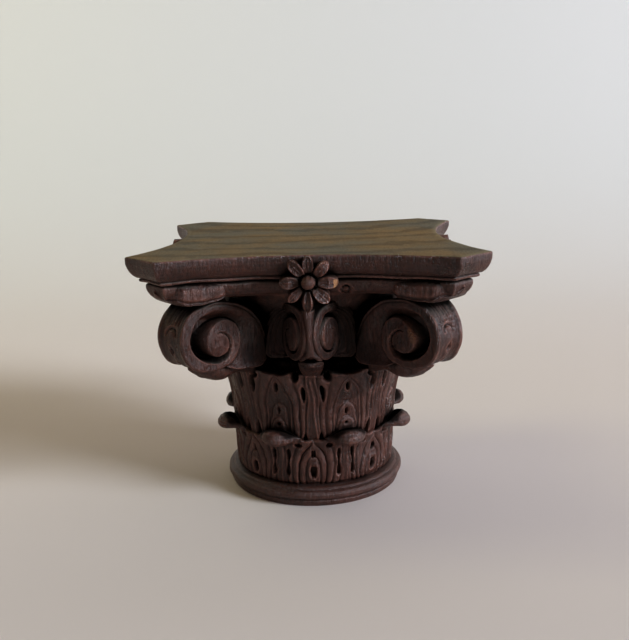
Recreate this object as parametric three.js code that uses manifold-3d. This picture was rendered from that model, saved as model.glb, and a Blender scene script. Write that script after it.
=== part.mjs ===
// Carved wooden capital with two rings of leaves, corner scrolls and a curved square top.
// One block of wood. Millimetres, +Z up, origin at the centre of the underside, front along -Y.
import * as THREE from "three";
import { mergeVertices } from "three/addons/utils/BufferGeometryUtils.js";
import Module from "manifold-3d";

const wasm = await Module();
wasm.setup();

// Driving dimensions
const HEIGHT = 160;
const HALF_WIDTH = 100;
const CANT_CORNER = 79.8;
const SIDE_SAG = 18.2;
const SIDES = 4;
const QUARTER = Math.PI / 2;
const HOLLOW_STEPS = 7;

// Moulding under the top: inset from the plan outline, and height
const TOP_PROFILE = [
  [0, HEIGHT],
  [0, 155.6],
  [1.6, 151.4],
  [4.8, 148],
  [6, 146.2],
  [8.4, 145.6],
  [10.4, 139.6],
  [13.8, 135.6],
];

// Turned foot: radius and height
const FOOT_PROFILE = [
  [56.2, 0],
  [57.8, 7.2],
  [56, 10.4],
  [50.8, 12.4],
];
// Bell between the upper leaves and the top
const BELL_PROFILE = [
  [0, 70],
  [50, 70],
  [52.6, 100],
  [57, 121],
  [66.4, 137],
  [0, 137],
];
const BELL_STEPS = 14;

// Leaf rings
const LEAVES = 8;
const LEAF_ANGLE = (2 * Math.PI) / LEAVES;
// Flutes over half a leaf: place from midrib to edge, and height of the ridge or groove
const FLUTES = [
  [0, 0.7],
  [0.19, -1.3],
  [0.4, 0.7],
  [0.6, -1.1],
  [0.8, 0.6],
  [1, -0.9],
];
// turn: 0 where a leaf stands at the middle of a side, 0.5 where two meet there
// profile: radius and height of the leaf's face below the rim
// eyes: drilled pits, by flute from the midrib and step up the leaf
const LOWER_RING = {
  turn: 0.5,
  profile: [
    [51.8, 13.4],
    [52.6, 28],
  ],
  rim: 54.4,
  rimMiddle: 44,
  rimEdge: 40.6,
  belly: 1.6,
  rimBelly: 2.4,
  behind: 51.4,
  eyes: [
    [3, 1],
    [5, 1],
  ],
};
const UPPER_RING = {
  turn: 0,
  profile: [
    [53.4, 48],
    [54.6, 60],
    [56.6, 73],
  ],
  rim: 59.4,
  rimMiddle: 85,
  rimEdge: 83,
  belly: 0,
  rimBelly: 0,
  behind: 44,
  eyes: [
    [1, 2],
    [5, 2],
    [5, 1],
  ],
};
const EYE_DEPTH = 3;
const RIM_LOBE = 0.8;
const RIM_DROP = 2;
const RIM_POWER = 1.5;

// Curled leaf tips: closed outline in radius and height
const LOWER_TIP = [
  [50, 34],
  [55.6, 41],
  [58.8, 44],
  [61, 42.8],
  [62.4, 39.2],
  [65, 40.2],
  [65.9, 43.8],
  [63, 47],
  [50, 46],
];
const LOWER_TIP_HALF_WIDTH = 10.4;
const LOWER_TIP_ROOT = 54;
const LOWER_TIP_REACH = 66;
const LOWER_TIP_TAPER = 0.25;
const LOWER_TIP_FORM = { crown: 6, pinch: 0.6, level: 44 };
// Small tip under each stalk, and the long one that runs out under each corner scroll
const FACE_TIP = [
  [52, 76],
  [61, 83],
  [67, 89.6],
  [69.6, 93.4],
  [66, 97.4],
  [52, 94],
];
const FACE_TIP_HALF_WIDTH = 7.2;
const FACE_TIP_FORM = { crown: 2, pinch: 0.2, level: 90 };
const CORNER_TIP = [
  [52, 76],
  [66, 85.4],
  [74, 85.4],
  [82, 83.4],
  [86.5, 85],
  [99.5, 93.4],
  [95, 97.4],
  [52, 96],
];
const CORNER_TIP_HALF_WIDTH = 10.5;
const CORNER_TIP_FORM = { crown: 3, pinch: 0.2, level: 90 };
const CORNER_TIP_TAPER = { from: 78, to: 101, share: 0.35 };
// Towards its sides a tip falls back by its crown, from nothing at the first radius to all of it at
// the second, and closes on a level by its pinch
const CROWN_STARTS = 52;
const CROWN_FULL = 60;
const TIP_SECTIONS = 2;

// Corner scroll: edges of the rolled band, as turn angle in degrees (0 outwards, 90 up) and radius
// from the eye
const VOLUTE_OUTER = [
  [203, 40.3],
  [190, 36.6],
  [165, 31.5],
  [151, 29.1],
  [130, 25.8],
  [90, 22.4],
  [58, 21.9],
  [30, 21.6],
  [5, 21.2],
  [-43, 20],
  [-69, 18.7],
  [-115, 17.8],
  [-171, 17.2],
  [-193, 16.7],
  [-222, 14.8],
  [-250, 11.8],
  [-280, 9],
  [-310, 8],
  [-352, 7.4],
  [-410, 7.8],
  [-452, 9.2],
  [-490, 10.5],
  [-513, 10.8],
];
const VOLUTE_INNER = [
  [203, 37.3],
  [190, 33.6],
  [165, 28.2],
  [151, 25],
  [130, 20.8],
  [90, 17.5],
  [50, 16.8],
  [5, 15.9],
  [-24, 14.4],
  [-70, 13.6],
  [-112, 14],
  [-136, 13.2],
  [-165, 11.7],
  [-193, 9.4],
];
// The same for the inner scrolls, whose band rises straight from the stalk to a square shoulder
const HELIX_OUTER = [
  [203, 40.3],
  [190, 36.8],
  [170, 34.2],
  [154, 33.6],
  [141, 31.6],
  [128, 27.8],
  [111, 24.2],
  [90, 22.6],
  [58, 22.8],
  [30, 22.2],
  [-20, 20.6],
  [-80, 18.8],
  [-140, 17.6],
  [-171, 15.6],
  [-208, 14.6],
  [-237, 13.4],
  [-270, 12.4],
  [-303, 10.6],
  [-350, 8.8],
  [-400, 9.4],
  [-450, 11.4],
];
const HELIX_INNER = [
  [203, 37.6],
  [190, 33.8],
  [170, 30.4],
  [154, 29.2],
  [141, 27.2],
  [128, 23.2],
  [111, 19.4],
  [90, 17.6],
  [50, 17.2],
  [5, 16.9],
  [-35, 15.4],
  [-65, 14.2],
  [-101, 13],
  [-135, 12.7],
  [-170, 11.6],
  [-193, 9.4],
];
const CHANNEL_INSET = 1.2;
// Foot of the stem, below the rolled part, as seen from the eye
const STEM_FOOT = [
  [212, 37],
  [-138, 28.6],
  [-128, 23.4],
  [-115, 17.4],
];
// Along the face, the distance between points of an edge: for the channel as a share of the band's,
// and the longest that the last one may be
const CHANNEL_STRIDE = 1.6;
const LAST_STRIDE = 1.4;
// Beyond its bend a face runs to the side: inwards and across for each millimetre along it
const BEND_FALL = 0.3;
const BEND_SPREAD = 0.9;
const LEAST_HALF_WIDTH = 1;

// Corner scrolls stand on the diagonals: the two faces of a pair draw together outwards
const VOLUTE = {
  count: 4,
  turn: QUARTER / 2,
  front: 111.5,
  frontHalfWidth: 11.5,
  wedgeAngle: 0.122,
  eye: [21.5, 110.5],
  stretch: [1, 1],
  recess: 4.5,
  bend: 200,
  outer: VOLUTE_OUTER,
  inner: VOLUTE_INNER,
  step: 11.5,
};
// Inner scrolls stand in pairs at the middle of each side, back to back on a stalk
const HELIX = {
  count: 4,
  turn: 0,
  front: 74.6,
  frontHalfWidth: 3.7,
  wedgeAngle: 0.62,
  eye: [12.6, 111],
  stretch: [0.62, 0.8],
  recess: 3,
  bend: 23,
  outer: HELIX_OUTER,
  inner: HELIX_INNER,
  step: 19,
};

// Stalk between the inner scrolls: height, half width and reach
const STALK = [
  [96.6, 6, 72.4],
  [103, 3.8, 74.4],
  [116, 3.2, 75.8],
  [128, 4.8, 75.6],
];
const STALK_BACK = 60;
// How far the stalk's front corners lie behind its reach, and its ridge before it
const STALK_BEVEL = 1.6;
const STALK_RIDGE = 0.6;

// Flower in the middle of each side
const FLOWER_HEIGHT = 144.6;
const FLOWER_BACK = 66;
const PETALS = 8;
const PETAL = [
  // angle from the petal's middle as a share of half a petal, radius, reach
  [-1, 6, 85.6],
  [-0.72, 10.8, 87.4],
  [0, 15.2, 88.2],
  [0.72, 10.8, 87.4],
];
const PETAL_RIDGE = [10, 91];
const BUTTON_RADIUS = 4.2;
const BUTTON_REACH = 92.4;
const BUTTON_SIDES = 6;
const BUTTON_ROWS = 4;

// Leaf draped over each corner scroll, under the horn of the top
const HORN_LEAF = {
  start: 92,
  tip: 120,
  halfWidth: 13.6,
  tipHalfWidth: 4,
  top: 146,
  bottom: 131.5,
  tipDrop: 4,
  tipCurve: 2.5,
  sideDrop: 4.5,
  sideRise: 1.2,
  tipRise: 5,
  // how square the tip is: share of its length that the round takes, and its power
  roundShare: 0.85,
  roundPower: 4,
  risePower: 6,
  sections: [4, 2],
};

// Small peg hole beside the front flower
const HOLE = { x: 20.5, z: 138.5, radius: 2.3, from: 70, to: 82, sides: 6 };

const CONTROL = new THREE.Vector3();

// A closed geometry as a solid
function solid(geometry) {
  const bare = geometry.index ? geometry.toNonIndexed() : geometry.clone();
  bare.deleteAttribute("normal");
  bare.deleteAttribute("uv");
  const merged = mergeVertices(bare, 1e-4);
  return new wasm.Manifold(
    new wasm.Mesh({
      numProp: 3,
      vertProperties: new Float32Array(merged.attributes.position.array),
      triVerts: new Uint32Array(merged.index.array),
    }),
  );
}

// A solid back as a geometry
function geometryOf(made) {
  const mesh = made.getMesh();
  const positions = new Float32Array(mesh.numVert * 3);
  for (let i = 0; i < mesh.numVert; i++) {
    const start = i * mesh.numProp;
    positions.set(mesh.vertProperties.subarray(start, start + 3), i * 3);
  }
  const geometry = new THREE.BufferGeometry();
  geometry.setAttribute("position", new THREE.BufferAttribute(positions, 3));
  geometry.setIndex(new THREE.BufferAttribute(new Uint32Array(mesh.triVerts), 1));
  return geometry;
}

// Linear reading of [key, value] pairs whose keys run one way
function read(pairs, key) {
  const rising = pairs[pairs.length - 1][0] > pairs[0][0];
  for (let i = 1; i < pairs.length; i++) {
    const [k0, v0] = pairs[i - 1];
    const [k1, v1] = pairs[i];
    if (rising ? key <= k1 : key >= k1) {
      return v0 + ((v1 - v0) * (key - k0)) / (k1 - k0);
    }
  }
  return pairs[pairs.length - 1][1];
}

// Closed surface through a list of rings, each a list of points, first ring to last, ends capped
function loft(rings) {
  const count = rings[0].length;
  const positions = rings.flat().flatMap((p) => [p[0], p[1], p[2]]);
  const index = [];
  for (let r = 0; r + 1 < rings.length; r++) {
    for (let i = 0; i < count; i++) {
      const a = r * count + i;
      const b = r * count + ((i + 1) % count);
      index.push(a, b, b + count, a, b + count, a + count);
    }
  }
  const last = (rings.length - 1) * count;
  const flat = (ring) => ring.map((p) => new THREE.Vector2(p[0], p[1]));
  for (const [a, b, c] of THREE.ShapeUtils.triangulateShape(flat(rings[0]), [])) {
    index.push(c, b, a);
  }
  for (const [a, b, c] of THREE.ShapeUtils.triangulateShape(flat(rings[rings.length - 1]), [])) {
    index.push(last + a, last + b, last + c);
  }
  const geometry = new THREE.BufferGeometry();
  geometry.setAttribute("position", new THREE.Float32BufferAttribute(positions, 3));
  geometry.setIndex(index);
  return geometry;
}

// Moves each vertex of a geometry by a function of x, y, z
function reshape(geometry, place) {
  const position = geometry.attributes.position;
  for (let i = 0; i < position.count; i++) {
    CONTROL.fromBufferAttribute(position, i);
    const [x, y, z] = place(CONTROL.x, CONTROL.y, CONTROL.z);
    position.setXYZ(i, x, y, z);
  }
  return geometry;
}

// Turns a frame of (outwards, across, up), standing on the front at turn 0, into x, y, z
function around(turn) {
  const sin = Math.sin(turn);
  const cos = Math.cos(turn);
  return (out, across, up) => [out * sin + across * cos, -out * cos + across * sin, up];
}

// Copies of a solid about the vertical axis
function ringOf(made, count) {
  const copies = [];
  for (let i = 0; i < count; i++) {
    copies.push(made.rotate([0, 0, (360 / count) * i]));
  }
  return copies;
}

// Plan outline of the top, inset by a distance, anticlockwise
function topOutline(inset) {
  const halfChord = CANT_CORNER;
  const radius = (halfChord ** 2 + SIDE_SAG ** 2) / (2 * SIDE_SAG);
  const centre = HALF_WIDTH - SIDE_SAG + radius;
  const cant = (HALF_WIDTH + CANT_CORNER) / Math.SQRT2 - inset;
  // where the inset hollow meets the inset cant
  const arc = radius + inset;
  const gap = centre - cant * Math.SQRT2;
  const meet = (Math.sqrt(2 * arc ** 2 - gap ** 2) - gap) / 2;
  const reach = Math.asin(meet / arc);
  const points = [];
  for (let side = 0; side < SIDES; side++) {
    const place = around(side * QUARTER);
    for (let i = 0; i <= HOLLOW_STEPS; i++) {
      const angle = reach * ((2 * i) / HOLLOW_STEPS - 1);
      points.push(place(centre - arc * Math.cos(angle), arc * Math.sin(angle), 0));
    }
  }
  return points;
}

// Top with its moulded edge
function makeTop() {
  const rows = [...TOP_PROFILE].reverse().map(([inset, height]) =>
    topOutline(inset).map(([x, y]) => [x, y, height]),
  );
  return solid(loft(rows));
}

// Rows of one ring of leaves, from its foot to its rim and back to the bell behind
function leafRows(ring) {
  const rim = (share) => {
    const lobes = RIM_LOBE * Math.abs(Math.cos(share * Math.PI * 2));
    return THREE.MathUtils.lerp(ring.rimMiddle, ring.rimEdge, share ** RIM_POWER) + lobes;
  };
  const places = [];
  const last = FLUTES.length - 1;
  for (let column = 0; column < 2 * last * LEAVES; column++) {
    // flute steps from the middle of the nearest leaf
    const from = column - ring.turn * 2 * last;
    const leaf = Math.round(from / (2 * last));
    const step = from - leaf * 2 * last;
    const flute = Math.abs(step);
    const [share, height] = FLUTES[flute];
    const angle = (leaf + ring.turn + (Math.sign(step) * share) / 2) * LEAF_ANGLE;
    places.push({ angle, flute, share, height });
  }
  const point = (angle, radius, up) => around(angle)(radius, 0, up);
  const rows = ring.profile.map(([radius, up], step) =>
    places.map(({ angle, flute, share, height }) => {
      const drilled = ring.eyes.some(([f, s]) => f === flute && s === step);
      const full = step * ring.belly * (1 - share ** 2);
      return point(angle, radius + full + height - (drilled ? EYE_DEPTH : 0), up);
    }),
  );
  rows.push(
    places.map(({ angle, share, height }) => {
      const full = ring.rimBelly * (1 - share ** 2);
      return point(angle, ring.rim + full + height / 2, rim(share));
    }),
  );
  rows.push(places.map(({ angle, share }) => point(angle, ring.behind, rim(share) - RIM_DROP)));
  return rows;
}

// Turned rows, with the same places round the axis as the leaves'
function turnedRows(profile) {
  const [guide] = leafRows(UPPER_RING);
  return profile.map(([radius, up]) =>
    guide.map(([x, y]) => {
      const scale = radius / Math.hypot(x, y);
      return [x * scale, y * scale, up];
    }),
  );
}

// Foot and both rings of leaves
function makeBody() {
  return solid(
    loft([
      ...turnedRows(FOOT_PROFILE),
      ...leafRows(LOWER_RING),
      ...leafRows(UPPER_RING),
    ]),
  );
}

// Bell above the leaves
function makeBell() {
  const points = BELL_PROFILE.map(([radius, up]) => new THREE.Vector2(radius, up));
  const geometry = new THREE.LatheGeometry(points, BELL_STEPS);
  geometry.rotateX(QUARTER);
  return solid(geometry);
}

// Curled tip with a given outline in (outwards, up), as wide at each place as a function says
function makeTip(outline, halfWidth, turn, form) {
  const shape = new THREE.Shape(outline.map(([out, up]) => new THREE.Vector2(out, up)));
  const geometry = new THREE.ExtrudeGeometry(shape, {
    depth: 2,
    steps: TIP_SECTIONS,
    bevelEnabled: false,
  });
  const place = around(turn);
  reshape(geometry, (out, up, k) => {
    const across = k - 1;
    const share = THREE.MathUtils.smoothstep(out, CROWN_STARTS, CROWN_FULL);
    const level = THREE.MathUtils.lerp(up, form.level, form.pinch * across ** 2);
    return place(out - form.crown * across ** 2 * share, -across * halfWidth(out), level);
  });
  return solid(geometry);
}

// Curled tips of the lower ring
function makeLowerTips() {
  const width = (out) => {
    const reach = THREE.MathUtils.clamp(
      (out - LOWER_TIP_ROOT) / (LOWER_TIP_REACH - LOWER_TIP_ROOT),
      0,
      1,
    );
    return LOWER_TIP_HALF_WIDTH * (1 - LOWER_TIP_TAPER * reach ** 3);
  };
  const tip = makeTip(LOWER_TIP, width, LEAF_ANGLE / 2, LOWER_TIP_FORM);
  return ringOf(tip, LEAVES);
}

// Tips of the upper ring: short ones on the sides, long ones under the corner scrolls
function makeUpperTips() {
  const face = makeTip(FACE_TIP, () => FACE_TIP_HALF_WIDTH, 0, FACE_TIP_FORM);
  const width = (out) => {
    const reach = THREE.MathUtils.smoothstep(out, CORNER_TIP_TAPER.from, CORNER_TIP_TAPER.to);
    return CORNER_TIP_HALF_WIDTH * (1 - CORNER_TIP_TAPER.share * reach);
  };
  const corner = makeTip(CORNER_TIP, width, QUARTER / 2, CORNER_TIP_FORM);
  return [...ringOf(face, SIDES), ...ringOf(corner, SIDES)];
}

// Place on a scroll's face from its eye: distance along the face, and height
function onFace(scroll, degrees, radius) {
  const angle = THREE.MathUtils.degToRad(degrees);
  return [
    scroll.eye[0] - radius * Math.cos(angle) * scroll.stretch[0],
    scroll.eye[1] + radius * Math.sin(angle) * scroll.stretch[1],
  ];
}

// Distance outwards and half width at a distance along a scroll's face
function faceAt(scroll, along) {
  const flat = Math.min(along, scroll.bend);
  const over = along - flat;
  const out = scroll.front - flat * Math.cos(scroll.wedgeAngle) - over * BEND_FALL;
  const across = scroll.frontHalfWidth + flat * Math.sin(scroll.wedgeAngle) + over * BEND_SPREAD;
  return [out, across];
}

// Solid between the two faces of a pair of scrolls, inside an outline drawn on the face
function makeScrollSlab(scroll, outline, recess) {
  const shape = new THREE.Shape(outline.map(([along, up]) => new THREE.Vector2(along, up)));
  const geometry = new THREE.ExtrudeGeometry(shape, {
    depth: 2,
    steps: 1,
    bevelEnabled: false,
  });
  const place = around(scroll.turn);
  reshape(geometry, (along, up, k) => {
    const [out, across] = faceAt(scroll, along);
    return place(out, (k - 1) * Math.max(across - recess, LEAST_HALF_WIDTH), up);
  });
  return solid(geometry);
}

// Turn angles along an edge, in steps of about a given length
function sweep(edge, end, step) {
  const angles = [edge[0][0]];
  for (;;) {
    const last = angles[angles.length - 1];
    const stride = THREE.MathUtils.radToDeg(step / read(edge, last));
    if (last - stride * LAST_STRIDE <= end) return [...angles, end];
    angles.push(last - stride);
  }
}

// Pairs of scrolls: a rolled band standing proud of a recessed channel
function makeScrolls(scroll) {
  const edge = (pairs, end, step, inset = 0) =>
    sweep(pairs, end, step).map((a) => onFace(scroll, a, read(pairs, a) - inset));
  const endOf = (pairs) => pairs[pairs.length - 1][0];
  const outer = edge(scroll.outer, endOf(scroll.outer), scroll.step);
  const inner = edge(scroll.inner, endOf(scroll.inner), scroll.step);
  const band = makeScrollSlab(scroll, [...outer, ...inner.reverse()], 0);
  const rolled = edge(scroll.outer, endOf(STEM_FOOT), scroll.step * CHANNEL_STRIDE, CHANNEL_INSET);
  const foot = STEM_FOOT.slice(0, -1).map(([a, r]) => onFace(scroll, a, r));
  const channel = makeScrollSlab(scroll, [...rolled, ...foot.reverse()], scroll.recess);
  return ringOf(band.add(channel), scroll.count);
}

// Stalks under the flowers
function makeStalks() {
  const rings = STALK.map(([height, halfWidth, reach]) => [
    [-halfWidth, -STALK_BACK, height],
    [halfWidth, -STALK_BACK, height],
    [halfWidth, -reach + STALK_BEVEL, height],
    [0, -reach - STALK_RIDGE, height],
    [-halfWidth, -reach + STALK_BEVEL, height],
  ]);
  // each ring runs clockwise from above, so it is turned round
  return ringOf(solid(loft(rings.map((ring) => ring.reverse()))), SIDES);
}

// Flower with pointed petals and a domed button
function makeFlowers() {
  const at = (angle, radius, reach) => [
    radius * Math.sin(angle),
    -reach,
    FLOWER_HEIGHT + radius * Math.cos(angle),
  ];
  const edge = [];
  const crests = [];
  for (let petal = 0; petal < PETALS; petal++) {
    const middle = (petal * 2 * Math.PI) / PETALS;
    for (const [share, radius, reach] of PETAL) {
      edge.push(at(middle + (share * Math.PI) / PETALS, radius, reach));
    }
    crests.push(at(middle, ...PETAL_RIDGE));
  }
  const count = edge.length;
  const front = count + PETALS;
  const back = front + 1;
  const index = [];
  for (let i = 0; i < count; i++) {
    const next = (i + 1) % count;
    const crest = count + Math.floor(i / PETAL.length);
    index.push(i, crest, next, i, next, back);
    if (next % PETAL.length === 0) index.push(next, crest, front);
    if (i % PETAL.length === 0) index.push(front, crest, i);
  }
  const points = [...edge, ...crests, at(0, 0, PETAL[0][2]), at(0, 0, FLOWER_BACK)];
  const geometry = new THREE.BufferGeometry();
  geometry.setAttribute("position", new THREE.Float32BufferAttribute(points.flat(), 3));
  geometry.setIndex(index);
  const button = new THREE.SphereGeometry(BUTTON_RADIUS, BUTTON_SIDES, BUTTON_ROWS);
  button.translate(0, -BUTTON_REACH + BUTTON_RADIUS, FLOWER_HEIGHT);
  return ringOf(solid(geometry).add(solid(button)), SIDES);
}

// Leaves under the horns
function makeHornLeaves() {
  const leaf = HORN_LEAF;
  const place = around(QUARTER / 2);
  const [across, along] = leaf.sections;
  const geometry = new THREE.BoxGeometry(2, 1, 1, across, along, 1);
  // box x runs across, y inwards and z up
  reshape(geometry, (x, y, z) => {
    const rise = 0.5 - y;
    const round = Math.sqrt(Math.max(0, 1 - (leaf.roundShare * rise) ** leaf.roundPower));
    const half = THREE.MathUtils.lerp(leaf.tipHalfWidth, leaf.halfWidth, round);
    const out = THREE.MathUtils.lerp(leaf.start, leaf.tip, rise) - leaf.tipCurve * x ** 2 * rise;
    const face = leaf.top - leaf.tipDrop * rise ** 2 - leaf.sideDrop * x ** 2;
    const under = leaf.bottom + leaf.tipRise * rise ** leaf.risePower + leaf.sideRise * x ** 2;
    return place(out, x * half, z > 0 ? face : under);
  });
  return ringOf(solid(geometry), SIDES);
}

// Small hole beside the front flower
function makeHole() {
  const geometry = new THREE.CylinderGeometry(HOLE.radius, HOLE.radius, HOLE.to - HOLE.from, HOLE.sides);
  geometry.translate(HOLE.x, -(HOLE.from + HOLE.to) / 2, HOLE.z);
  return solid(geometry);
}

function makeCapital() {
  const joined = [
    makeBody(),
    makeBell(),
    makeTop(),
    ...makeLowerTips(),
    ...makeUpperTips(),
    ...makeScrolls(VOLUTE),
    ...makeScrolls(HELIX),
    ...makeStalks(),
    ...makeFlowers(),
    ...makeHornLeaves(),
  ].reduce((whole, piece) => whole.add(piece));
  return joined.subtract(makeHole());
}

const stainedWood = new THREE.MeshStandardMaterial({
  color: 0x4a2a20,
  roughness: 0.5,
  metalness: 0,
});

const capital = new THREE.Mesh(geometryOf(makeCapital()), stainedWood);
capital.name = "capital";

const group = new THREE.Group();
group.add(capital);

export default group;
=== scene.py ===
"""Carved wooden column capital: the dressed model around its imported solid.

Sizes are millimetres in the classes and metres in the meshes. +Z is up, the front looks along -Y.
"""

import logging
import math
from dataclasses import dataclass, field
from enum import Enum
from typing import Callable, Sequence

import bmesh
import bpy
import numpy as np
from mathutils import Matrix, Vector
from mathutils.bvhtree import BVHTree

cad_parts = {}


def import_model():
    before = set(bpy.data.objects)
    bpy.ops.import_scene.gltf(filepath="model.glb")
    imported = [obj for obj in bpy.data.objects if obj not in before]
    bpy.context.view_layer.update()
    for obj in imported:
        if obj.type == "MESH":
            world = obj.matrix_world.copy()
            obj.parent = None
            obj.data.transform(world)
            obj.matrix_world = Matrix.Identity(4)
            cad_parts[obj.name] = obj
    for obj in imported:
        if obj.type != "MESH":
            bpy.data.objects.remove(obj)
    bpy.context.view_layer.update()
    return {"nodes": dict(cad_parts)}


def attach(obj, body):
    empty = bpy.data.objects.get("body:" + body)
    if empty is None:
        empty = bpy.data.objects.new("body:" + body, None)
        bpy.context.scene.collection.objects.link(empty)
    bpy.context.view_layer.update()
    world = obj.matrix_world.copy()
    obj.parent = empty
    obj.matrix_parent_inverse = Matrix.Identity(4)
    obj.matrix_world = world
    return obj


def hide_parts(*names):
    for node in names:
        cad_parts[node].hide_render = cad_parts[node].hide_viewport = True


LOG = logging.getLogger("capital")
MM = 0.001
SIDES = 4
LEAVES = 8
HEIGHT = 160.0
SEAM_GAP = 2e-6
FLUTE_POWER = 2.6
NODE = "capital"
BODY = "root"

Pairs = Sequence[tuple[float, float]]
Placer = Callable[[np.ndarray, np.ndarray], np.ndarray]


class Place(Enum):
    """Where round the axis a repeated piece stands first, in degrees from the front."""

    SIDE = 0.0
    BETWEEN_LEAVES = 22.5
    CORNER = 45.0


def ease(low: float, high: float, value: np.ndarray) -> np.ndarray:
    """Smooth step from 0 at low to 1 at high."""
    share = np.clip((value - low) / (high - low), 0.0, 1.0)
    return share * share * (3.0 - 2.0 * share)


def bump(distance: np.ndarray, width: float) -> np.ndarray:
    """Bell-shaped bump: 1 at no distance, almost 0 at twice the width."""
    return np.exp(-((distance / width) ** 2))


def flow(pairs: Pairs, key: np.ndarray) -> np.ndarray:
    """Smooth curve through (key, value) pairs.

    Args:
        pairs: Keys and values, the keys rising.
        key: Where to read the curve; outside the keys it keeps its end values.

    Returns:
        The values at each key.
    """
    keys, values = np.array(pairs, float).T
    slopes = np.gradient(values, keys)
    at = np.clip(key, keys[0], keys[-1])
    step = np.clip(np.searchsorted(keys, at, side="right") - 1, 0, len(keys) - 2)
    span = keys[step + 1] - keys[step]
    t = (at - keys[step]) / span
    start = values[step] + slopes[step] * span * t
    end = values[step + 1] - slopes[step + 1] * span * (1.0 - t)
    blend = t * t * (3.0 - 2.0 * t)
    return start * (1.0 - blend) + end * blend


def wrap(share: np.ndarray) -> np.ndarray:
    """Brings the last column of a closed surface back onto the first."""
    return np.where(share > 1.0 - 1e-6, 0.0, share)


def around(degrees: float, out: np.ndarray, across: np.ndarray, up: np.ndarray) -> np.ndarray:
    """Carries places seen from the front to another side of the axis.

    Args:
        degrees: Angle from the front.
        out: Distances outwards.
        across: Distances to the right.
        up: Heights.

    Returns:
        x, y, z of each place.
    """
    turn = math.radians(degrees)
    x = out * math.sin(turn) + across * math.cos(turn)
    y = -out * math.cos(turn) + across * math.sin(turn)
    return np.stack([x, y, up + 0.0 * x], axis=-1)


def on_ring(turn: np.ndarray, radius: np.ndarray | float, up: np.ndarray) -> np.ndarray:
    """x, y, z at a turn in radians from the front, a radius and a height."""
    return np.stack([radius * np.sin(turn), -radius * np.cos(turn), up], axis=-1)


class Waves:
    """Smooth seeded unevenness: a sum of plane waves in all directions."""

    def __init__(self, seed: int, length: float, count: int = 26, rise: float = 1.0) -> None:
        """Sets the waves up.

        Args:
            seed: Seed of the waves' directions and phases.
            length: Typical wave length in millimetres.
            count: How many waves are summed.
            rise: How many times longer the waves are up the piece than across it.
        """
        numbers = np.random.default_rng(seed)
        heading = numbers.normal(size=(count, 3))
        heading /= np.linalg.norm(heading, axis=1, keepdims=True)
        pace = 2.0 * math.pi / length * numbers.uniform(0.55, 1.7, (count, 1))
        self.waves = heading * pace * np.array([1.0, 1.0, 1.0 / rise])
        self.phase = numbers.uniform(0.0, 2.0 * math.pi, count)

    def at(self, spots: np.ndarray) -> np.ndarray:
        """Unevenness at each spot, mostly between -1 and 1."""
        return np.sin(spots @ self.waves.T + self.phase).sum(axis=1) / math.sqrt(2 * len(self.phase))


def deselect() -> None:
    """Leaves edit mode and selects nothing."""
    if bpy.context.object and bpy.context.object.mode != "OBJECT":
        bpy.ops.object.mode_set(mode="OBJECT")
    bpy.ops.object.select_all(action="DESELECT")


def activate(piece: bpy.types.Object) -> None:
    """Makes one piece the only selected and active one.

    Args:
        piece: The piece.
    """
    deselect()
    piece.select_set(True)
    bpy.context.view_layer.objects.active = piece


def spots_of(piece: bpy.types.Object) -> np.ndarray:
    """Reads where a piece's vertices are.

    Args:
        piece: The piece.

    Returns:
        One row of x, y, z in millimetres for each vertex.
    """
    flat = np.empty(len(piece.data.vertices) * 3, np.float32)
    piece.data.vertices.foreach_get("co", flat)
    return flat.reshape(-1, 3).astype(float) / MM


def move_spots(piece: bpy.types.Object, spots: np.ndarray) -> None:
    """Puts a piece's vertices at spots in millimetres."""
    piece.data.vertices.foreach_set("co", (spots * MM).astype(np.float32).ravel())
    piece.data.update()


def normals_of(piece: bpy.types.Object) -> np.ndarray:
    """Reads which way a piece's surface faces.

    Args:
        piece: The piece.

    Returns:
        One normal for each vertex.
    """
    flat = np.empty(len(piece.data.vertices) * 3, np.float32)
    piece.data.vertex_normals.foreach_get("vector", flat)
    return flat.reshape(-1, 3).astype(float)


def close_seams(piece: bpy.types.Object) -> None:
    """Merges a carved sheet's seam and poles and turns its faces outwards.

    Args:
        piece: The piece.
    """
    activate(piece)
    bpy.ops.object.mode_set(mode="EDIT")
    bpy.ops.mesh.select_all(action="SELECT")
    bpy.ops.mesh.remove_doubles(threshold=SEAM_GAP)
    bpy.ops.mesh.normals_make_consistent(inside=False)
    bpy.ops.object.mode_set(mode="OBJECT")
    bpy.ops.object.shade_smooth()


def carved_sheet(name: str, columns: int, rows: int, place: Placer) -> bpy.types.Object:
    """A closed carved surface, made from a grid whose points are put in place one by one.

    Args:
        name: Name of the new piece.
        columns: Steps across the grid.
        rows: Steps up the grid.
        place: Turns shares of the grid's two ways into x, y, z in millimetres.

    Returns:
        The new piece.
    """
    deselect()
    bpy.ops.mesh.primitive_grid_add(x_subdivisions=columns, y_subdivisions=rows, size=1.0)
    piece = bpy.context.object
    piece.name = name
    piece.data.name = name
    grid = spots_of(piece) * MM + 0.5
    move_spots(piece, place(grid[:, 0], grid[:, 1]))
    close_seams(piece)
    return piece


def copy_round(master: bpy.types.Object, count: int, name: str) -> list[bpy.types.Object]:
    """Copies of a piece round the axis, each with a mesh of its own; the first is the master.

    Args:
        master: The modelled piece.
        count: How many pieces there are in all.
        name: Name that each copy's number is added to.

    Returns:
        All the pieces.
    """
    pieces = []
    for number in range(count):
        piece = master
        if number:
            piece = bpy.data.objects.new(name, master.data.copy())
            bpy.context.scene.collection.objects.link(piece)
            piece.data.transform(Matrix.Rotation(2.0 * math.pi * number / count, 4, "Z"))
        piece.name = f"{name}_{number + 1}" if count > 1 else name
        piece.data.name = piece.name
        pieces.append(piece)
    return pieces


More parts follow.
